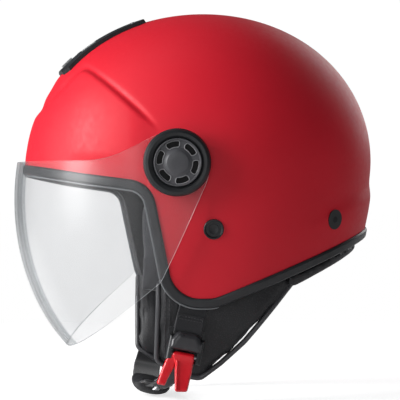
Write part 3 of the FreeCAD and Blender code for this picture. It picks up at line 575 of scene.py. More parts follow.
def fill_outline(outline, holes, spacing):
    """Points and triangles that fill a closed outline and leave its holes open. Outline points come first."""
    loops = [outline] + holes
    points = np.vstack(loops)
    edges = []
    start = 0
    for loop in loops:
        edges += [(start + i, start + (i + 1) % len(loop)) for i in range(len(loop))]
        start += len(loop)
    low, high = outline.min(axis=0), outline.max(axis=0)
    rise = spacing * math.sqrt(3) / 2
    inner = []
    for row, v in enumerate(np.arange(low[1], high[1], rise)):
        for u in np.arange(low[0] + (row % 2) * spacing / 2, high[0], spacing):
            inner.append((u, v))
    inner = np.array(inner)
    inner = inner[inside_outline(inner[:, 0], inner[:, 1], outline)]
    inner = inner[distance_to(inner, points) > spacing * 0.6]
    done = delaunay_2d_cdt([Vector(p) for p in np.vstack((points, inner))], edges, [], 1, 1e-7)
    verts = np.array([tuple(v) for v in done[0]])
    faces = []
    for face in done[2]:
        middle = verts[list(face)].mean(axis=0)
        if not any(inside_outline(middle[:1], middle[1:], hole)[0] for hole in holes):
            faces.append(tuple(face))
    return verts, faces


def pillow(name, loop, spacing, edge, outer_x, inner_x, body, material, place):
    """Padded or moulded panel: a (y, z) outline, faces at outer_x and inner_x, rounded over the edge."""
    flat, faces = fill_outline(loop, [], spacing)
    reach = np.clip(distance_to(flat, loop) / edge, 0, 1)
    reach[:len(loop)] = 0
    high = outer_x(flat[:, 0], flat[:, 1])
    low = inner_x(flat[:, 0], flat[:, 1])
    half = (high - low) / 2 * np.sqrt(reach * (2 - reach))
    outer = np.column_stack(((high + low) / 2 + half, flat))
    inner = np.column_stack(((high + low) / 2 - half, flat))
    points = place(np.vstack((outer, inner)))
    obj = new_object(name, points, faces + flipped(faces, len(flat)), body, [material])
    face_outward(obj, weld=1e-5)
    return obj


# ==== materials ===========================================================================
class Nodes:
    """Short way to build a node tree."""

    def __init__(self, name):
        self.material = bpy.data.materials.new(name)
        self.material.use_nodes = True
        self.tree = self.material.node_tree
        self.shader = self.tree.nodes["Principled BSDF"]
        self.output = self.tree.nodes["Material Output"]
        self.place = self.add("ShaderNodeTexCoord").outputs["Object"]

    def add(self, kind, **values):
        node = self.tree.nodes.new(kind)
        for key, value in values.items():
            if key in node.inputs:
                self.feed(node.inputs[key], value)
            else:
                setattr(node, key, value)
        return node

    def feed(self, socket, value):
        if isinstance(value, bpy.types.NodeSocket):
            self.tree.links.new(value, socket)
        else:
            socket.default_value = value

    def set(self, **values):
        for key, value in values.items():
            self.feed(self.shader.inputs[key.replace("_", " ")], value)

    def noise(self, scale, detail=3.0, roughness=0.6):
        return self.add("ShaderNodeTexNoise", Vector=self.place, Scale=scale, Detail=detail,
                        Roughness=roughness).outputs["Fac"]

    def cells(self, scale, feature):
        return self.add("ShaderNodeTexVoronoi", Vector=self.place, Scale=scale,
                        feature=feature).outputs["Distance"]

    def ramp(self, source, low, high, from_low=0.3, from_high=0.7):
        node = self.add("ShaderNodeMapRange", Value=source)
        limits = {"From Min": from_low, "From Max": from_high, "To Min": low, "To Max": high}
        for key, value in limits.items():
            node.inputs[key].default_value = value
        return node.outputs["Result"]

    def mix(self, factor, low, high):
        node = self.add("ShaderNodeMix", data_type="RGBA")
        for socket, value in ((node.inputs["Factor"], factor), (node.inputs[6], low), (node.inputs[7], high)):
            self.feed(socket, value)
        return node.outputs[2]

    def join(self, kind, first, second, **values):
        node = self.add(kind, **values)
        shaders = [socket for socket in node.inputs if socket.type == "SHADER"]
        self.feed(shaders[0], first.outputs[0])
        self.feed(shaders[1], second.outputs[0])
        return node

    def math(self, operation, a, b=0.0):
        node = self.add("ShaderNodeMath", operation=operation)
        self.feed(node.inputs[0], a)
        self.feed(node.inputs[1], b)
        return node.outputs[0]

    def bump(self, height, distance, strength, below=None):
        node = self.add("ShaderNodeBump", Height=height, Distance=distance, Strength=strength)
        if below is not None:
            self.feed(node.inputs["Normal"], below)
        return node.outputs["Normal"]

    def show(self, shader):
        self.tree.links.new(shader.outputs[0], self.output.inputs["Surface"])


def rgb(r, g, b):
    return (r, g, b, 1.0)


def speckled(name, low, high, tone, rough, rough_range, grain, depth, strength, tone_range=(0.3, 0.7),
             **more):
    """Material whose colour, roughness and relief each follow a noise of (scale, detail, roughness)."""
    n = Nodes(name)
    n.set(Base_Color=n.mix(n.ramp(n.noise(*tone), 0.0, 1.0, *tone_range), rgb(*low), rgb(*high)))
    n.set(Roughness=n.ramp(n.noise(*rough), *rough_range))
    n.set(Normal=n.bump(n.noise(*grain), depth * MM, strength), **more)
    return n.material


def paint():
    """Matte red paint with a fine orange-peel and a faint tonal drift."""
    return speckled("matte_red_paint", (0.68, 0.009, 0.024), (0.75, 0.012, 0.030), (9, 2), (240, 2),
                    (0.46, 0.56), (900, 2), 0.04, 0.5, Specular_IOR_Level=0.34)


def grained_plastic(name, color, roughness):
    """Moulded plastic with a spark-eroded grain, a little paler where handling has rubbed it."""
    lighter = [min(1.0, c * 1.35 + 0.006) for c in color]
    return speckled(name, color, lighter, (35, 4), (120, 3), (roughness - 0.05, roughness + 0.06), (1400, 2),
                    0.06, 0.7, (0.45, 0.8))


def gloss_plastic(name, color, roughness):
    """Glossy moulded plastic with slight sink marks and handling haze."""
    return speckled(name, [c * 0.82 for c in color], color, (90, 5, 0.7), (90, 5, 0.7),
                    (roughness, roughness + 0.14), (50, 2), 0.2, 0.25, Coat_Weight=0.3, Coat_Roughness=0.12)


def rubber():
    """Extruded rubber: very fine die lines and a soft sheen."""
    return speckled("edge_rubber", (0.012, 0.013, 0.015), (0.022, 0.023, 0.026), (60,), (180,), (0.36, 0.46),
                    (700, 3), 0.05, 0.5, Specular_IOR_Level=0.55)


def steel():
    """Zinc-plated steel with fine scratches."""
    color = (0.55, 0.56, 0.58)
    scratch = (400, 6, 0.75)
    return speckled("zinc_steel", [c * 0.75 for c in color], color, scratch, scratch, (0.22, 0.42), scratch,
                    0.03, 0.5, Metallic=1.0)


def leatherette():
    """Artificial leather: pebbled grain with fine creases between the pebbles."""
    n = Nodes("black_leatherette")
    pebble = n.ramp(n.cells(620, "DISTANCE_TO_EDGE"), 0.0, 1.0, 0.0, 0.35)
    wrinkle = n.noise(45, 5, 0.7)
    n.set(Base_Color=n.mix(pebble, rgb(0.010, 0.010, 0.012), rgb(0.024, 0.024, 0.027)))
    n.set(Roughness=n.ramp(wrinkle, 0.40, 0.58), Specular_IOR_Level=0.5)
    n.set(Normal=n.bump(pebble, 0.12 * MM, 0.7, n.bump(wrinkle, 0.6 * MM, 0.5)))
    return n.material


def knit():
    """Brushed tricot lining: small round mesh holes on a nap."""
    n = Nodes("black_knit")
    hole = n.ramp(n.cells(900, "F1"), 0.0, 1.0, 0.15, 0.5)
    n.set(Base_Color=n.mix(hole, rgb(0.018, 0.018, 0.021), rgb(0.0396, 0.0396, 0.0462)))
    n.set(Roughness=0.9, Specular_IOR_Level=0.2, Sheen_Weight=0.6, Sheen_Roughness=0.5)
    n.set(Normal=n.bump(hole, 0.3 * MM, 0.8, n.bump(n.noise(60, 4), 0.6 * MM, 0.4)))
    return n.material


def foam():
    """Moulded impact foam: packed beads."""
    n = Nodes("bead_foam")
    bead = n.ramp(n.cells(330, "DISTANCE_TO_EDGE"), 0.0, 1.0, 0.0, 0.2)
    n.set(Base_Color=n.mix(bead, rgb(0.010, 0.010, 0.011), rgb(0.030, 0.030, 0.033)), Roughness=0.7)
    n.set(Normal=n.bump(bead, 0.3 * MM, 0.7))
    return n.material


def webbing():
    """Woven polyester tape: herringbone ribs along and across."""
    n = Nodes("black_webbing")
    x, y, z = n.add("ShaderNodeSeparateXYZ", Vector=n.place).outputs
    across = n.math("SINE", n.math("MULTIPLY", y, 5200.0))
    down = n.math("SINE", n.math("MULTIPLY", n.math("ADD", z, x), 3600.0))
    weave = n.ramp(n.math("MULTIPLY", across, down), 0.0, 1.0, -1.0, 1.0)
    n.set(Base_Color=n.mix(weave, rgb(0.008, 0.008, 0.010), rgb(0.030, 0.030, 0.034)))
    n.set(Roughness=0.72, Specular_IOR_Level=0.35, Sheen_Weight=0.3, Normal=n.bump(weave, 0.2 * MM, 0.8))
    return n.material


def lens():
    """Clear polycarbonate: light passes straight through, dimmed more where the sheet is seen edge-on."""
    n = Nodes("clear_lens")
    facing = n.add("ShaderNodeLayerWeight", Blend=0.5).outputs["Facing"]
    band = n.add("ShaderNodeValToRGB", Fac=facing)
    steps = band.color_ramp.elements
    steps[0].position, steps[0].color = 0.70, rgb(0, 0, 0)
    steps[1].position, steps[1].color = 0.97, rgb(1, 1, 1)
    for position, level in ((0.725, 0.95), (0.76, 0.45), (0.88, 0.60)):
        steps.new(position).color = rgb(level, level, level)
    tint = n.mix(band.outputs["Color"], rgb(0.955, 0.957, 0.96), rgb(0.66, 0.68, 0.69))
    clear = n.add("ShaderNodeBsdfTransparent", Color=tint)
    shine = n.add("ShaderNodeBsdfGlossy", Color=rgb(1, 1, 1), Roughness=n.ramp(n.noise(300), 0.30, 0.33))
    dull = n.add("ShaderNodeBsdfDiffuse", Color=rgb(0.8, 0.82, 0.84))
    mirror = n.math("ADD", n.math("MULTIPLY", n.math("POWER", facing, 5.0), 0.55), 0.018)
    haze = n.math("ADD", n.ramp(n.noise(14), 0.0, 0.02), 0.02)
    glossy = n.join("ShaderNodeMixShader", clear, shine, Fac=mirror)
    n.show(n.join("ShaderNodeMixShader", glossy, dull, Fac=haze))
    return n.material


def lens_edge_painted_glow():
    """Cut edge of the visor: frosted, with a pale colour and a faint glow that paint the highlight the edge
    catches.
    """
    return speckled("lens_cut_edge_painted_glow", (0.55, 0.57, 0.58), (0.75, 0.77, 0.78), (200,), (200,), (0.35, 0.35),
                    (900,), 0.05, 0.5, Emission_Color=rgb(0.9, 0.92, 0.95), Emission_Strength=0.12)


MATERIALS = {
    "shell_paint": paint(),
    "trim_rubber": rubber(),
    "foam": foam(),
    "lining": knit(),
    "leatherette": leatherette(),
    "lens": lens(),
    "lens_edge_painted_glow": lens_edge_painted_glow(),
    "black_plastic": grained_plastic("black_plastic", (0.012, 0.013, 0.015), 0.38),
    "grey_plastic": grained_plastic("grey_plastic", (0.075, 0.075, 0.082), 0.36),
    # paler grey of the cords round the knob's windows: painted highlight on their edges
    "knob_rim_painted_highlight": grained_plastic("grey_plastic_painted_highlight", (0.24, 0.24, 0.25), 0.30),
    # near-black painted shade for the holes the shell lacks and for the floors of the knob's windows
    "painted_recess_shade": grained_plastic("painted_recess_shade", (0.004, 0.004, 0.005), 0.6),
    "grille_plastic": grained_plastic("grille_plastic", (0.30, 0.31, 0.31), 0.32),
    "steel": steel(),
    "webbing": webbing(),
    "lever_plastic": gloss_plastic("red_lever_plastic", (0.86, 0.012, 0.024), 0.14),
    "band_plastic": gloss_plastic("black_band_plastic", (0.03, 0.03, 0.034), 0.25),
    "thread": gloss_plastic("sewing_thread", (0.055, 0.055, 0.06), 0.45),
    # pale grey cord under the trim's edge: painted highlight of that edge
    "trim_edge_highlight_grey": gloss_plastic("pale_grey_painted_highlight", (0.20, 0.21, 0.22), 0.35),
    # piping: black vinyl, lightened above the leatherette so that it paints the highlight along its edge
    "piping": gloss_plastic("vinyl_piping_painted_highlight", (0.06, 0.06, 0.066), 0.30),
}


def dress_cad_nodes():
    """Every carried-over CAD node takes the material of its slot in the record."""
    for part in frame["record"]["subparts"]:
        node = NODES[part["node"]]
        node.data.materials.clear()
        node.data.materials.append(MATERIALS[part["material_slot"]])


# ==== shell and trim ======================================================================
def brow_panel(points):
    """How far the raised brow panel stands out: its outline climbs to an apex and falls to the pivot."""
    y, z = points[..., 1], points[..., 2]
    away = np.sqrt((y - APEX[0]) ** 2 + APEX_ROUND ** 2)
    below = (APEX[1] - PANEL_SLOPE * away - z) / math.sqrt(2)
    fade = 1 - smooth(y, -66 * MM, -42 * MM)
    valley = VALLEY_DEPTH * bell(below + VALLEY_BELOW, VALLEY_WIDTH) * (1 - smooth(y, -60 * MM, -42 * MM))
    front = BROW_SET_BACK * smooth(-y, 85 * MM, 118 * MM) * smooth(-z, -70 * MM, -58 * MM)
    height = PANEL_HEIGHT * (1 - 0.55 * smooth(-y, 100 * MM, 125 * MM))
    return height * smooth(below, -2.0 * MM, 1.8 * MM) * fade - valley - front


def rear_ridge(points, to_rim):
    """Soft ridge above the rear rim, with a faint waist over it."""
    ridge = smooth(to_rim, RIDGE_TO_RIM + 7 * MM, RIDGE_TO_RIM) * smooth(to_rim, 2 * MM, RIDGE_TO_RIM)
    waist = bell(to_rim - RIDGE_TO_RIM - 8 * MM, 4 * MM)
    return smooth(points[..., 1], 55 * MM, 115 * MM) * (RIDGE_HEIGHT * ridge - WAIST_DEPTH * waist)


def grid_normals(points):
    """Outward unit normals of a closed grid of columns round the origin, by differences."""
    along = np.roll(points, -1, axis=0) - np.roll(points, 1, axis=0)
    normal = unit(np.cross(np.gradient(points, axis=1), along))
    return normal * np.sign(np.sum(normal * points, axis=2, keepdims=True))


def in_painted_hole_shade(place):
    """True under the vent cover and in the snap sockets, where the drawn shell has no holes: there it takes a
    near-black painted shade for the holes' dark insides.
    """
    x, y, z = abs(place[0]), place[1], place[2]
    under_vent = x < VENT_BED_HALF_WIDTH and VENT_BED_Y[0] < y < VENT_BED_Y[1] and z > 0
    return under_vent or math.dist((x, y, z), SOCKET) < SOCKET_R


def build_shell():
    """Outer shell: columns of points from the crown to the rim, with the raised brow panel."""
    rows = 140
    angle, sweep = dome_angles(mirror_loop(rim_line(EDGE_INSIDE_TRIM, RIM_COLUMNS)))
    sweeps = sweep[:, None] * np.linspace(0, 1, rows + 1)[None, 1:]
    points = dome_point(angle[:, None], sweeps)
    to_rim = (sweep[:, None] - sweeps) * HALF_WIDTH
    raised = brow_panel(points) * smooth(to_rim, 6 * MM, 18 * MM) + rear_ridge(points, to_rim)
    points = points + grid_normals(points) * raised[..., None]
    columns = len(sweep)
    crown = columns * rows
    faces = flipped(grid_faces(columns, rows, wrap_columns=True), 0)
    faces += [(i * rows, (i + 1) % columns * rows, crown) for i in range(columns)]
    vertices = np.vstack((points.reshape(-1, 3), [(0, SWEEP_BACK * TOP, TOP)]))
    shell = new_object("shell_skin", vertices, faces, "helmet",
                       [MATERIALS["shell_paint"], MATERIALS["painted_recess_shade"]])
    # faces over the missing holes take the near-black painted shade
    for polygon in shell.data.polygons:
        polygon.material_index = int(in_painted_hole_shade(polygon.center))
    face_outward(shell)
    wall = shell.modifiers.new("wall", "SOLIDIFY")
    wall.thickness = SHELL_WALL
    wall.offset = -1
    register(shell, "outer_shell")


def build_trim():
    """Rubber channel: a rounded lip over the shell's edge."""
    upper, down, out = rim_frames()
    section = round_corners(TRIM_SECTION, True, lambda length: 5) * MM
    rings = upper[:, None] + down[:, None] * section[:, :1] + out[:, None] * section[:, 1:]
    trim = loft("rim_trim", [rings], "helmet", MATERIALS["trim_rubber"], ring_closes=True)
    register(trim, "edge_trim")


def build_trim_edge_highlight():
    """Thin pale grey cord under the lower edge of the face opening's trim, along its front part only: it paints
    the highlight that the lit edge catches.
    """
    upper, down, out = rim_frames()
    line = upper + down * (TRIM_HEIGHT - 0.2 * MM) - out * 0.4 * MM
    line = np.roll(line, -int(np.argmax(line[:, 1])), axis=0)
    line = line[line[:, 1] < 4 * MM]
    register(cords("trim_edge_highlight_cord", [line], 0.75 * MM, "helmet", MATERIALS["trim_edge_highlight_grey"], sides=10))


# ==== visor ===============================================================================
def visor_point(spot, z, inset=0.0):
    """Point of the visor. spot is metres along the sheet from the front end of its flat side: below 0 it runs
    back along the flat, above 0 it runs round the front quarter to QUARTER at the middle plane."""
    taper = np.maximum(VISOR_TAPER_Z - z, 0) / VISOR_TAPER_R
    half = (VISOR_HALF_WIDTH - inset) * np.sqrt(1 - taper ** 2)
    bulge = (z - VISOR_BULGE_Z) / VISOR_BULGE_R
    reach = (VISOR_REACH - inset) * np.sqrt(1 - bulge ** 2) - VISOR_FLAT
    turn = np.maximum(spot, 0) / QUARTER * math.pi / 2
    y = PIVOT.y - VISOR_FLAT - reach * np.sin(turn) - np.minimum(spot, 0)
    return np.stack((np.where(spot < QUARTER, half * np.cos(turn), 0.0), y, z), axis=-1)


def visor_spot(y, z):
    """Where along the sheet a point of the side view lies, and how near the middle plane (1 is on it)."""
    bulge = (z - VISOR_BULGE_Z) / VISOR_BULGE_R
    reach = VISOR_REACH * np.sqrt(1 - bulge ** 2) - VISOR_FLAT
    ahead = PIVOT.y - VISOR_FLAT - y
    turn = np.arcsin(np.clip(ahead / reach, 0, 1))
    return np.where(ahead < 0, ahead, turn / (math.pi / 2) * QUARTER), ahead / reach


def mirror_and_weld(obj):
    """Adds the wearer's right half to a left half and joins them on the middle plane."""
    with editing(obj) as bm:
        copied = bmesh.ops.duplicate(bm, geom=bm.verts[:] + bm.edges[:] + bm.faces[:])["geom"]
        for item in copied:
            if isinstance(item, bmesh.types.BMVert):
                item.co.x *= -1
        bmesh.ops.reverse_faces(bm, faces=[f for f in copied if isinstance(f, bmesh.types.BMFace)])
        bmesh.ops.remove_doubles(bm, verts=bm.verts[:], dist=1e-5)
        for edge in bm.edges:
            edge.smooth = len({f.material_index for f in edge.link_faces}) == 1


def build_visor():
    """Long clear visor with a hole on each pivot boss: two skins joined round their free edges."""
    outline = rounded_path(VISOR_OUTLINE, step=1.2)
    spots, near = visor_spot(outline[:, 0], outline[:, 1])
    edge = np.column_stack((spots, outline[:, 1]))[near < 1]
    ends = np.linspace(edge[-1, 1], edge[0, 1], 80)
    loop = np.vstack((edge, np.column_stack((np.full(len(ends), QUARTER), ends))))
    around = np.linspace(0, 2 * math.pi, 49)[:-1]
    hole = np.column_stack((-VISOR_FLAT + HOLE_R * np.cos(around), PIVOT.z + HOLE_R * np.sin(around)))
    flat, faces = fill_outline(loop, [hole], VISOR_FACET)
    flat[np.abs(flat[:, 0] - QUARTER) < 1e-6, 0] = QUARTER
    outer = visor_point(flat[:, 0], flat[:, 1])
    inner = visor_point(flat[:, 0], flat[:, 1], VISOR_WALL)
    sides = dict.fromkeys((a, b) for face in faces for a, b in zip(face, face[1:] + face[:1]))
    rim = [(a, b) for a, b in sides if (b, a) not in sides and not outer[a][0] == outer[b][0] == 0.0]
    count = len(flat)
    all_faces = faces + flipped(faces, count) + [(b, a, a + count, b + count) for a, b in rim]
    visor = new_object("visor_shield", np.vstack((outer, inner)), all_faces, "visor",
                       [MATERIALS["lens"], MATERIALS["lens_edge_painted_glow"]])
    # the cut edges take the pale, faintly glowing material: painted highlight
    visor.data.polygons.foreach_set("material_index", [0] * (2 * len(faces)) + [1] * len(rim))
    mirror_and_weld(visor)
    register(visor, "visor_lens")


# ==== soft goods ==========================================================================
def inflate(obj, voxel, cap, shrink, hold=lambda places: 1.0):
    """Cloth simulation of a padded cover: it starts slightly small, swells under pressure and is capped."""
    normals = np.array([tuple(v.normal) for v in obj.data.vertices])
    move_vertices(obj.data, vertex_array(obj.data) - normals * shrink)
    remesh = obj.modifiers.new("voxels", "REMESH")
    remesh.mode = "VOXEL"
    remesh.voxel_size = voxel
    apply_modifiers(obj)
    start = vertex_array(obj.data)
    cloth = obj.modifiers.new("cover", "CLOTH")
    settings = cloth.settings
    settings.quality = 6
    settings.mass = 0.3
    settings.tension_stiffness = 12
    settings.compression_stiffness = 12
    settings.bending_stiffness = 0.6
    settings.use_pressure = True
    settings.uniform_pressure_force = 4.0
    settings.effector_weights.gravity = 0
    cloth.point_cache.frame_start = 1
    cloth.point_cache.frame_end = 20
    for frame_number in range(1, 21):
        bpy.context.scene.frame_set(frame_number)
    evaluated = obj.evaluated_get(bpy.context.evaluated_depsgraph_get())
    moved = vertex_array(evaluated.data) - start
    obj.modifiers.clear()
    bpy.context.scene.frame_set(1)
    length = np.linalg.norm(moved, axis=1, keepdims=True)
    moved *= np.minimum(1, cap * hold(start) / np.maximum(length, 1e-9))
    move_vertices(obj.data, start + moved)
    with editing(obj) as bm:
        for _ in range(2):
            bmesh.ops.smooth_vert(bm, verts=bm.verts[:], factor=0.5, use_axis_x=True, use_axis_y=True,
                                  use_axis_z=True)
    finer = obj.modifiers.new("smooth", "SUBSURF")
    finer.levels = finer.render_levels = 1
    apply_modifiers(obj)
    obj.data.polygons.foreach_set("use_smooth", [True] * len(obj.data.polygons))


def lay_on(obj, lines, sign, lift):
    """Drops (y, z) lines onto the outer side of a soft piece, just above its surface."""
    tree = BVHTree.FromPolygons([v.co for v in obj.data.vertices], [p.vertices[:] for p in obj.data.polygons])
    laid = []
    for line in lines:
        hits = [tree.ray_cast(Vector((sign * 0.2, y, z)), Vector((-sign, 0, 0))) for y, z in line]
        points = [np.array(hit[0]) + np.array(hit[1]) * lift for hit in hits if hit[0] is not None]
        if len(points) > 2:
            laid.append(even_out(np.array(points), 3))
    return laid


def stitches(name, lines, length, gap, radius, body):
    """Short threads along lines."""
    dashes = []
    for line in lines:
        for start in np.arange(0, lengths_along(line)[-1] - length, length + gap):
            dashes.append(points_at(line, np.linspace(start, start + length, 4)))
    return cords(name, dashes, radius, body, MATERIALS["thread"])


def flap_face(y, z, out, tuck):
    """Distance out of a face of the flap: it leans in towards the jaw and towards the nape."""
    down = np.clip((-108 * MM - z) / (60 * MM), 0, 1)
    return (out - tuck * down - 9.0 * smooth(y, 30 * MM, 68 * MM)) * MM


def flap_outer(y, z):
    return flap_face(y, z, 87.5, 12.0)


def flap_inner(y, z):
    return flap_face(y, z, 76.0, 9.0)


def flap_loop(step, grow):
    """The flap's outline, grown."""
    return grow_loop(rounded_path(FLAP, step, closed=True), grow)


def wrinkle_flap(flap, sign):
    """Gathers beside the strap's slit, a sewn groove behind the front edge and a groove inside the hem."""
    co = vertex_array(flap.data)
    outside = smooth(co[:, 0] * sign, 0.070, 0.078)
    y, z = co[:, 1] / MM, co[:, 2] / MM
    gathers = 0.55 * np.sin(y * 2.3 + 0.12 * z) * bell(y + 29, 7) * bell(z + 117, 13)
    groove = 0.7 * bell(y + 35, 1.3)
    hem = bell(distance_to(co[:, 1:], rounded_path(FLAP, 1.5, closed=True)) / MM - 5.0, 1.3)
    co[:, 0] += sign * outside * (gathers - groove - hem) * MM
    move_vertices(flap.data, co)


def build_flap(side, sign):
    """Leatherette flap with piping round it, a sewn channel along its front edge and gathers by the strap."""
    flap = pillow("cheek_flap_" + side, flap_loop(2.0, FLAP_GROWTH), 3.2 * MM, 7 * MM, flap_outer, flap_inner,
                  "helmet", MATERIALS["leatherette"], lambda p: p * np.array((sign, 1, 1)))
    inflate(flap, 3.6 * MM, 3.0 * MM, 1.0 * MM, lambda p: 0.25 + 0.75 * smooth(-p[:, 2:], 0.10, 0.135))
    wrinkle_flap(flap, sign)
    edge = flap_loop(1.5, -PIPING_INSET)
    edge = np.roll(edge, -int(np.argmax(edge[:, 1] >= PIPING_TOP_Z)), axis=0)
    edge = edge[edge[:, 1] < PIPING_TOP_Z]
    middle = (flap_outer(*edge.T) + flap_inner(*edge.T)) / 2
    piping = np.column_stack((sign * (middle + 1.5 * MM), edge))
    cord = cords("flap_piping_" + side, [piping], PIPING_R, "helmet", MATERIALS["piping"], sides=8)
    seams = [[(y, z) for z in np.arange(*SEAM_Z, -1.2 * MM)] for y in SEAM_Y]
    hem = flap_loop(1.5, -HEM_INSET)
    hem = hem[(hem[:, 1] < -100 * MM) & (hem[:, 0] > -30 * MM)]
    lines = lay_on(flap, seams + [hem[np.argsort(hem[:, 0])]], sign, 0.05 * MM)
    thread = stitches("flap_stitches_" + side, lines, 2.4 * MM, 1.0 * MM, 0.28 * MM, "helmet")
    for piece in (flap, cord, thread):
        register(piece)


def soften_node(node, name, material, voxel, cap, shrink, keep_above=None, lift=0.0):
    """Cloth-simulated cover in place of a plain soft CAD solid, cut off below a height if one is given."""
    obj = bpy.data.objects.new(name, NODES[node].data.copy())
    obj.data.materials.clear()
    obj.data.materials.append(material)
    bpy.context.scene.collection.objects.link(obj)
    with editing(obj) as bm:
        bmesh.ops.remove_doubles(bm, verts=bm.verts[:], dist=1e-6)
        if keep_above is not None:
            bmesh.ops.bisect_plane(bm, geom=bm.verts[:] + bm.edges[:] + bm.faces[:],
                                   plane_co=(0, 0, keep_above), plane_no=(0, 0, -1), clear_outer=True)
            bmesh.ops.holes_fill(bm, edges=[e for e in bm.edges if len(e.link_faces) == 1])
        bmesh.ops.recalc_face_normals(bm, faces=bm.faces[:])
    inflate(obj, voxel, cap, shrink)
    obj.data.transform(Matrix.Translation((0, 0, lift)))
    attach(obj, NODES[node]["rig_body"])
    register(obj, node)


def build_cushions():
    """Cheek cushions above the flaps, and the collar under the rear rim."""
    for side, sign in SIDES:
        build_flap(side, sign)
        soften_node("cheek_pad_" + side, "cheek_cushion_" + side, MATERIALS["lining"], 4.5 * MM, 3.0 * MM,
                    1.2 * MM, keep_above=CUSHION_LOW_Z)
    soften_node("neck_roll", "neck_cushion", MATERIALS["leatherette"], 3.0 * MM, 1.5 * MM, 0.2 * MM,
                lift=3.2 * MM)


def dome_layer(angle, sweep, depth):
    """Points at an array of depths below the shell, by proportion between its surface and a deep layer."""
    surface = dome_point(angle, sweep)
    return surface + (dome_point(angle, sweep, DEEP_LAYER) - surface) * (depth / DEEP_LAYER)[..., None]


def lining_rim(angle):
    """Sweep from the crown to the lining's lower edge at each plan angle: the face opening or a flat cut."""
    sweeps = np.linspace(0.3, 2.2, 800)
    line = grow_path(rounded_path(RIM), 1.0 * MM)
    line = line[np.argsort(line[:, 0])]
    places = dome_point(angle, sweeps, LINING_OUTSIDE)
    limit = np.maximum(LINING_LOW_Z, np.interp(places[..., 1], line[:, 0], line[:, 1]))
    edge = sweeps[np.argmax(places[..., 2] < limit, axis=1)]
    for _ in range(6):
        edge = (np.roll(edge, 1) + 2 * edge + np.roll(edge, -1)) / 4
    return edge


def build_crown_liner():
    """Quilted comfort lining: padded blocks between sewn channels, closed over at its lower edge."""
    columns, rows = 240, 90
    angle = np.linspace(0, 2 * math.pi, columns, endpoint=False)[:, None]
    share = np.linspace(0, 1, rows + 1)[None, 1:]
    sweeps = lining_rim(angle)[:, None] * share
    blocks = np.minimum(smooth(np.abs(np.sin(angle * 3.5 + 0.4)), 0.0, 0.35),
                        smooth(np.abs(np.sin(sweeps * 4.2)), 0.0, 0.30))
    fade = smooth(share, 1.0, 0.93) * smooth(share, 0.02, 0.10)
    puff = np.sqrt(np.clip(fade * (0.45 + 0.55 * blocks), 0, 1))
    inner = dome_layer(angle, sweeps, LINING_OUTSIDE + (LINING_INSIDE - LINING_OUTSIDE) * puff)
    outer = dome_layer(angle, sweeps, np.full_like(sweeps, LINING_OUTSIDE))
    count = columns * rows
    quads = grid_faces(columns, rows, wrap_columns=True)
    faces = quads + flipped(quads, count)
    for i in range(columns):
        a = i * rows
        b = (i + 1) % columns * rows
        faces.append((2 * count, a, b))
        faces.append((2 * count + 1, count + b, count + a))
        faces.append((a + rows - 1, b + rows - 1, count + b + rows - 1, count + a + rows - 1))
    top = TOP - LINING_OUTSIDE
    crown = [(0, SWEEP_BACK * top, top - 2 * MM), (0, SWEEP_BACK * top, top)]
    points = np.vstack((inner.reshape(-1, 3), outer.reshape(-1, 3), crown))
    liner = new_object("crown_lining", points, faces, "helmet", [MATERIALS["lining"]])
    face_outward(liner)
    register(liner, "crown_liner")


# ==== chin strap ==========================================================================
def web(name, stations, sign, replaced):
    """Webbing through hanging stations: flat across Y, with rounded selvedges."""
    line = curve_through(stations, 1.2 * MM)
    half = WEB_WIDTH / 2
    across = np.concatenate((np.linspace(-half, WEB_LIP - half, 4),
                             np.linspace(2 * WEB_LIP - half, half - 2 * WEB_LIP, 9),
                             np.linspace(half - WEB_LIP, half, 4)))
    from_edge = (half - np.abs(across)) / WEB_LIP
    edge = np.clip(from_edge, 0, 1)
    rise = WEB_THICK / 2 * np.sqrt(edge * (2 - edge)) * (1 + 0.12 * bell(from_edge - 1.2, 1))
    across = np.concatenate((across, across[-2:0:-1]))
    rise = np.concatenate((rise, -rise[-2:0:-1]))
    rings = line[:, None] + side_normals(line)[:, None] * rise[:, None]
    rings[..., 1] += across
    rings = lean(rings) * np.array((sign, 1, 1))
    register(loft(name, [rings], "chin_strap", MATERIALS["webbing"]), replaced)


def build_straps():
    """Both runs of webbing, and the box of stitches on the end folded round the buckle."""
    web("webbing_left", TOP_LOOP + LEFT_RUN, 1, "strap_left")
    web("webbing_right", TOP_LOOP + RIGHT_RUN, -1, "strap_right")
    near, far = BUCKLE_Y - 8.8, BUCKLE_Y + 9.6
    (top_x, top_z), (low_x, low_z) = (91.75, -118.9), (92.25, -121.2)
    rows = [np.linspace((x, near, z), (x, far, z), 40) for x, z in ((top_x, top_z), (low_x, low_z))]
    rows += [np.linspace((top_x, y, top_z), (low_x, y, low_z), 8) for y in (near, far)]
    threads = [lean(row * MM) for row in rows]
    register(stitches("strap_stitches", threads, 1.6 * MM, 0.7 * MM, 0.3 * MM, "chin_strap"))


def build_band():
    """Toothed band from the chin up through the buckle."""
    line = curve_through(BAND_RUN, 0.3 * MM)
    along = lengths_along(line)
    tooth = np.where(along > SMOOTH_BAND, TOOTH_HEIGHT * (1 - along % TOOTH_PITCH / TOOTH_PITCH), 0)
    toothed = BAND_HALF + tuple((-y, out, rises) for y, out, rises in BAND_HALF[::-1])
    plain = ((-7.0, -0.5, 0), (-6.6, -0.8, 0), (6.6, -0.8, 0), (7.0, -0.5, 0))
    section = np.array(plain + toothed)
    rise = section[:, 1] * MM + section[:, 2] * tooth[:, None]
    rings = line[:, None] - side_normals(line)[:, None] * rise[..., None]
    rings[..., 1] += section[:, 0] * MM
    band = loft("toothed_band", [lean(rings)], "chin_strap", MATERIALS["band_plastic"])
    band.data.set_sharp_from_angle(angle=math.radians(28))
    register(band, "ratchet_band")


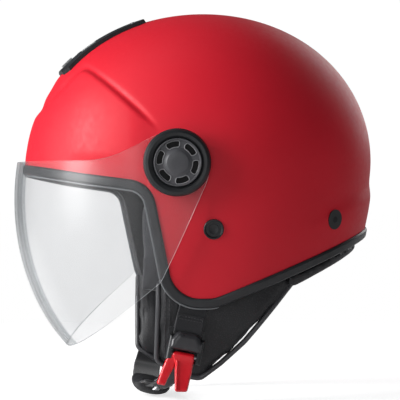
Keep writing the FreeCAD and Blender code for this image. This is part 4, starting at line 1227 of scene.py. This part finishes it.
def build_chin_pad():
    """Puffed sleeve round the webbing under the chin."""
    line = curve_through(CHIN_RUN, 3 * MM)
    around = np.linspace(0, 2 * math.pi, 33)[:-1]
    across = 15.2 * MM * np.sign(np.cos(around)) * np.abs(np.cos(around)) ** 0.8
    up = np.where(np.sin(around) > 0, 5.6 * MM, 8.2 * MM) * np.sin(around)
    swell = np.sqrt(np.clip(1 - (np.abs(line[:, 0]) / (35 * MM)) ** 4, 0.25, 1))
    rings = line[:, None] + side_normals(line)[:, None] * (up * swell[:, None])[..., None]
    rings[..., 1] += across
    pad = loft("chin_cushion", [lean(rings)], "chin_strap", MATERIALS["leatherette"])
    inflate(pad, 3.0 * MM, 2.0 * MM, 0.8 * MM)
    register(pad, "chin_pad")


def build_buckle_cover():
    """Rounded shoulder of the buckle's housing, over the webbing bar."""
    cover = pillow("buckle_shoulder", rounded_path(BUCKLE_COVER, closed=True), 0.9 * MM, 4.5 * MM,
                   lambda y, z: np.full_like(y, BUCKLE_COVER_X[1]),
                   lambda y, z: np.full_like(y, BUCKLE_COVER_X[0]), "chin_strap", MATERIALS["band_plastic"], lean)
    register(cover)


def lever_face(z, top, foot):
    """Distance out of the lever's face: it kicks out towards its foot."""
    down = np.clip((LEVER_TOP_Z - z) / LEVER_KICK, 0, 1)
    return (top + (foot - top) * down ** 1.6) * MM


def build_lever():
    """Red release lever: a long plate with a rib, a short hooked leg beside it and an eye on the pin."""
    body, material = "release_lever", MATERIALS["lever_plastic"]
    for name, corners, (top, foot) in (("plate", LEVER_PLATE, PLATE_FACE), ("leg", LEVER_LEG, LEG_FACE)):
        blade = pillow("lever_" + name, rounded_path(corners, 0.6, closed=True), 0.8 * MM, 1.3 * MM,
                       lambda y, z: lever_face(z, top, foot),
                       lambda y, z: lever_face(z, top - LEVER_THICK[0], foot - LEVER_THICK[1]),
                       body, material, lean)
        register(blade, "buckle_lever" if name == "plate" else None)
    eye = np.array([(96.6, BUCKLE_Y + y, -148.0) for y in np.linspace(-8.2, 8.2, 24)]) * MM
    register(cords("lever_eye", [lean(eye)], 2.5 * MM, body, material, sides=32))
    z = np.linspace(-152, -174.6, 30) * MM
    rib = np.column_stack((lever_face(z, *PLATE_FACE) + 0.25 * MM, np.linspace(-8.6, -4.9, 30) * MM, z))
    register(cords("lever_rib", [lean(rib)], 0.9 * MM, body, material, sides=12))


# ==== pivots and plugs ====================================================================
def spoke(axis, turn):
    """Unit direction square to an axis, at a turn about it."""
    first = axis.orthogonal().normalized()
    return first * math.cos(turn) + axis.cross(first) * math.sin(turn)


def turned(name, profile, centre, axis, body, materials, sides=96, dip=lambda radius, turn: 0.0):
    """Closed turned piece from a (radius, out) profile in metres. dip(radius, turn) lowers its face in
    places, and faces at the bottom of a dip take the last material."""
    vertices, drops = [], []
    turns = [2 * math.pi * k / sides for k in range(sides)]
    spokes = [spoke(axis, turn) for turn in turns]
    for radius, out in profile:
        for turn, direction in zip(turns, spokes):
            drops.append(dip(radius, turn))
            vertices.append(centre + axis * (out - drops[-1]) + direction * radius)
    faces = grid_faces(len(profile), sides, wrap_rows=True)
    faces += [tuple(row * sides + k for k in range(sides)) for row in (0, len(profile) - 1)]
    obj = new_object(name, vertices, faces, body, materials)
    for polygon in obj.data.polygons:
        if max(drops[i] for i in polygon.vertices) > 0:
            polygon.material_index = len(materials) - 1
    face_outward(obj)
    obj.data.set_sharp_from_angle(angle=math.radians(32))
    return obj


def window_dip(radius, turn):
    """Depth of the knob's face at a radius and angle: six arc windows cut into it."""
    across = abs((turn + WINDOW_PITCH / 2) % WINDOW_PITCH - WINDOW_PITCH / 2)
    return WINDOW_DEPTH if WINDOW_R[0] < radius < WINDOW_R[1] and across < WINDOW_HALF else 0.0


def window_rim(turn, count=16):
    """Closed outline of one window, with round ends, as (radius, angle) pairs."""
    low, high = WINDOW_R
    middle, end = (low + high) / 2, (high - low) / 2
    bulge = end / middle * END_ROUND
    spread = WINDOW_HALF - bulge
    arc = np.linspace(0, math.pi, count)[1:-1]
    out = [(high, a) for a in np.linspace(-spread, spread, count)]
    out += [(middle + end * math.cos(t), spread + bulge * math.sin(t)) for t in arc]
    out += [(low, a) for a in np.linspace(spread, -spread, count)]
    out += [(middle - end * math.cos(t), -spread - bulge * math.sin(t)) for t in arc]
    return [(radius, a + turn) for radius, a in out + out[:1]]


def build_knobs():
    """Wheel-shaped pivot knobs: raised hub, six arc windows and a thin raised rim. The window floors are
    near-black painted shade, and the cords round the windows are a paler grey that paints the highlight on their
    edges.
    """
    profile = [(r * MM, KNOB_FACE - d * MM) for r, d in KNOB]
    for side, sign in SIDES:
        body = "knob_" + side
        axis = Vector((sign, 0, 0))
        # the window floors take the near-black painted shade
        knob = turned(body, profile, PIVOT, axis, body, [MATERIALS["grey_plastic"], MATERIALS["painted_recess_shade"]],
                      sides=360, dip=window_dip)
        register(knob, "pivot_knob_" + side)
        face = PIVOT + axis * (KNOB_FACE - WINDOW_FACE)
        lines = [[face + spoke(axis, a) * r for r, a in window_rim(i * WINDOW_PITCH)] for i in range(WINDOWS)]
        # paler cords round the windows paint the highlight on their edges
        rims = cords(body + "_rims", lines, 0.34 * MM, body, MATERIALS["knob_rim_painted_highlight"], sides=8, rounded=False)
        register(rims)


def build_plugs():
    """Dished plug over each strap rivet, square to the shell's surface."""
    y, z = ANCHOR.y, ANCHOR.z
    x, out = float(dome_x(y, z)), dome_normal(y, z)
    for side, sign in SIDES:
        plug = turned("plug_" + side, np.array(PLUG) * MM, Vector((sign * x, y, z)),
                      Vector((sign * out.x, out.y, out.z)), "helmet", [MATERIALS["black_plastic"]])
        register(plug, "anchor_caps" if side == "left" else None)


# ==== stage ===============================================================================
def build_stage():
    """Pale floor that fades into the white surround. It looks bright but throws little light back."""
    n = Nodes("pale_floor")
    n.set(Base_Color=n.mix(n.noise(3), rgb(0.78, 0.78, 0.78), rgb(0.8, 0.8, 0.8)), Roughness=0.9)
    away = n.add("ShaderNodeVectorMath", operation="LENGTH")
    n.feed(away.inputs[0], n.place)
    near_glow = n.add("ShaderNodeEmission", Color=rgb(1, 1, 1), Strength=0.66)
    far_glow = n.add("ShaderNodeEmission", Color=rgb(1, 1, 1), Strength=1.0)
    lit = n.join("ShaderNodeAddShader", n.shader, near_glow)
    fade = n.ramp(away.outputs["Value"], 0.0, 1.0, 0.35, 1.1)
    to_camera = n.add("ShaderNodeLightPath").outputs["Is Camera Ray"]
    both = n.join("ShaderNodeMixShader", lit, far_glow, Fac=fade)
    n.show(n.join("ShaderNodeMixShader", n.shader, both, Fac=to_camera))
    size, low = 30.0, CAD_BOX[0].z - 1 * MM
    mesh = bpy.data.meshes.new("floor")
    mesh.from_pydata([(-size, -size, low), (size, -size, low), (size, size, low), (-size, size, low)], [],
                     [(0, 1, 2, 3)])
    mesh.materials.append(n.material)
    floor = bpy.data.objects.new("floor", mesh)
    bpy.context.scene.collection.objects.link(floor)


def aimed(name, data, place, direction):
    """Puts a lamp or a camera in the scene, facing a direction."""
    obj = bpy.data.objects.new(name, data)
    obj.location = place
    obj.rotation_euler = direction.to_track_quat("-Z", "Y").to_euler()
    bpy.context.scene.collection.objects.link(obj)
    return obj


def build_lights():
    """Soft key from the wearer's front, weak fills, and a surround that only the camera sees as white."""
    for name, place, size, power in (("key", (0.66, -2.65, 0.88), (1.5, 1.8), 112),
                                     ("fill", (2.5, -0.5, 0.1), (0.8, 1.8), 8),
                                     ("top", (0.1, -0.8, 2.2), (1.2, 1.2), 4),
                                     ("back", (-2.0, 1.7, 1.0), (1.6, 1.6), 22)):
        light = bpy.data.lights.new(name, "AREA")
        light.shape = "RECTANGLE"
        light.size, light.size_y = size
        light.energy = power
        aimed(name, light, place, -Vector(place))
    world = bpy.data.worlds.new("studio")
    world.use_nodes = True
    tree = world.node_tree
    dim = tree.nodes["Background"]
    white = tree.nodes.new("ShaderNodeBackground")
    for glow, color, strength in ((dim, rgb(0.9, 0.93, 1.0), 0.10), (white, rgb(1, 1, 1), 1.02)):
        glow.inputs["Color"].default_value = color
        glow.inputs["Strength"].default_value = strength
    path = tree.nodes.new("ShaderNodeLightPath")
    mix = tree.nodes.new("ShaderNodeMixShader")
    for source, socket in zip((path.outputs["Is Camera Ray"], dim.outputs[0], white.outputs[0]), mix.inputs):
        tree.links.new(source, socket)
    tree.links.new(mix.outputs[0], tree.nodes["World Output"].inputs["Surface"])
    bpy.context.scene.world = world


def build_camera():
    """Long lens from the wearer's left, turned slightly towards the front."""
    yaw = math.radians(7)
    back = Vector((math.cos(yaw), -math.sin(yaw), 0))
    camera = bpy.data.cameras.new("camera")
    camera.lens = 202.5
    camera.sensor_width = 36
    target = Vector((0, 0.5 * MM, -28 * MM))
    bpy.context.scene.camera = aimed("camera", camera, target + back * 1.8, -back)
    bpy.context.scene.view_settings.view_transform = "Standard"


# ==== build ===============================================================================
dress_cad_nodes()
build_shell()
build_trim()
build_visor()
build_trim_edge_highlight()
build_crown_liner()
build_cushions()
build_straps()
build_band()
build_chin_pad()
build_buckle_cover()
build_lever()
build_knobs()
build_plugs()
for name in ("pivot_ring_left", "pivot_ring_right", "vent_cover", "buckle_body", "rear_studs", "vent_slider"):
    bevel(NODES[name], 0.35 * MM)
build_stage()
build_lights()
build_camera()
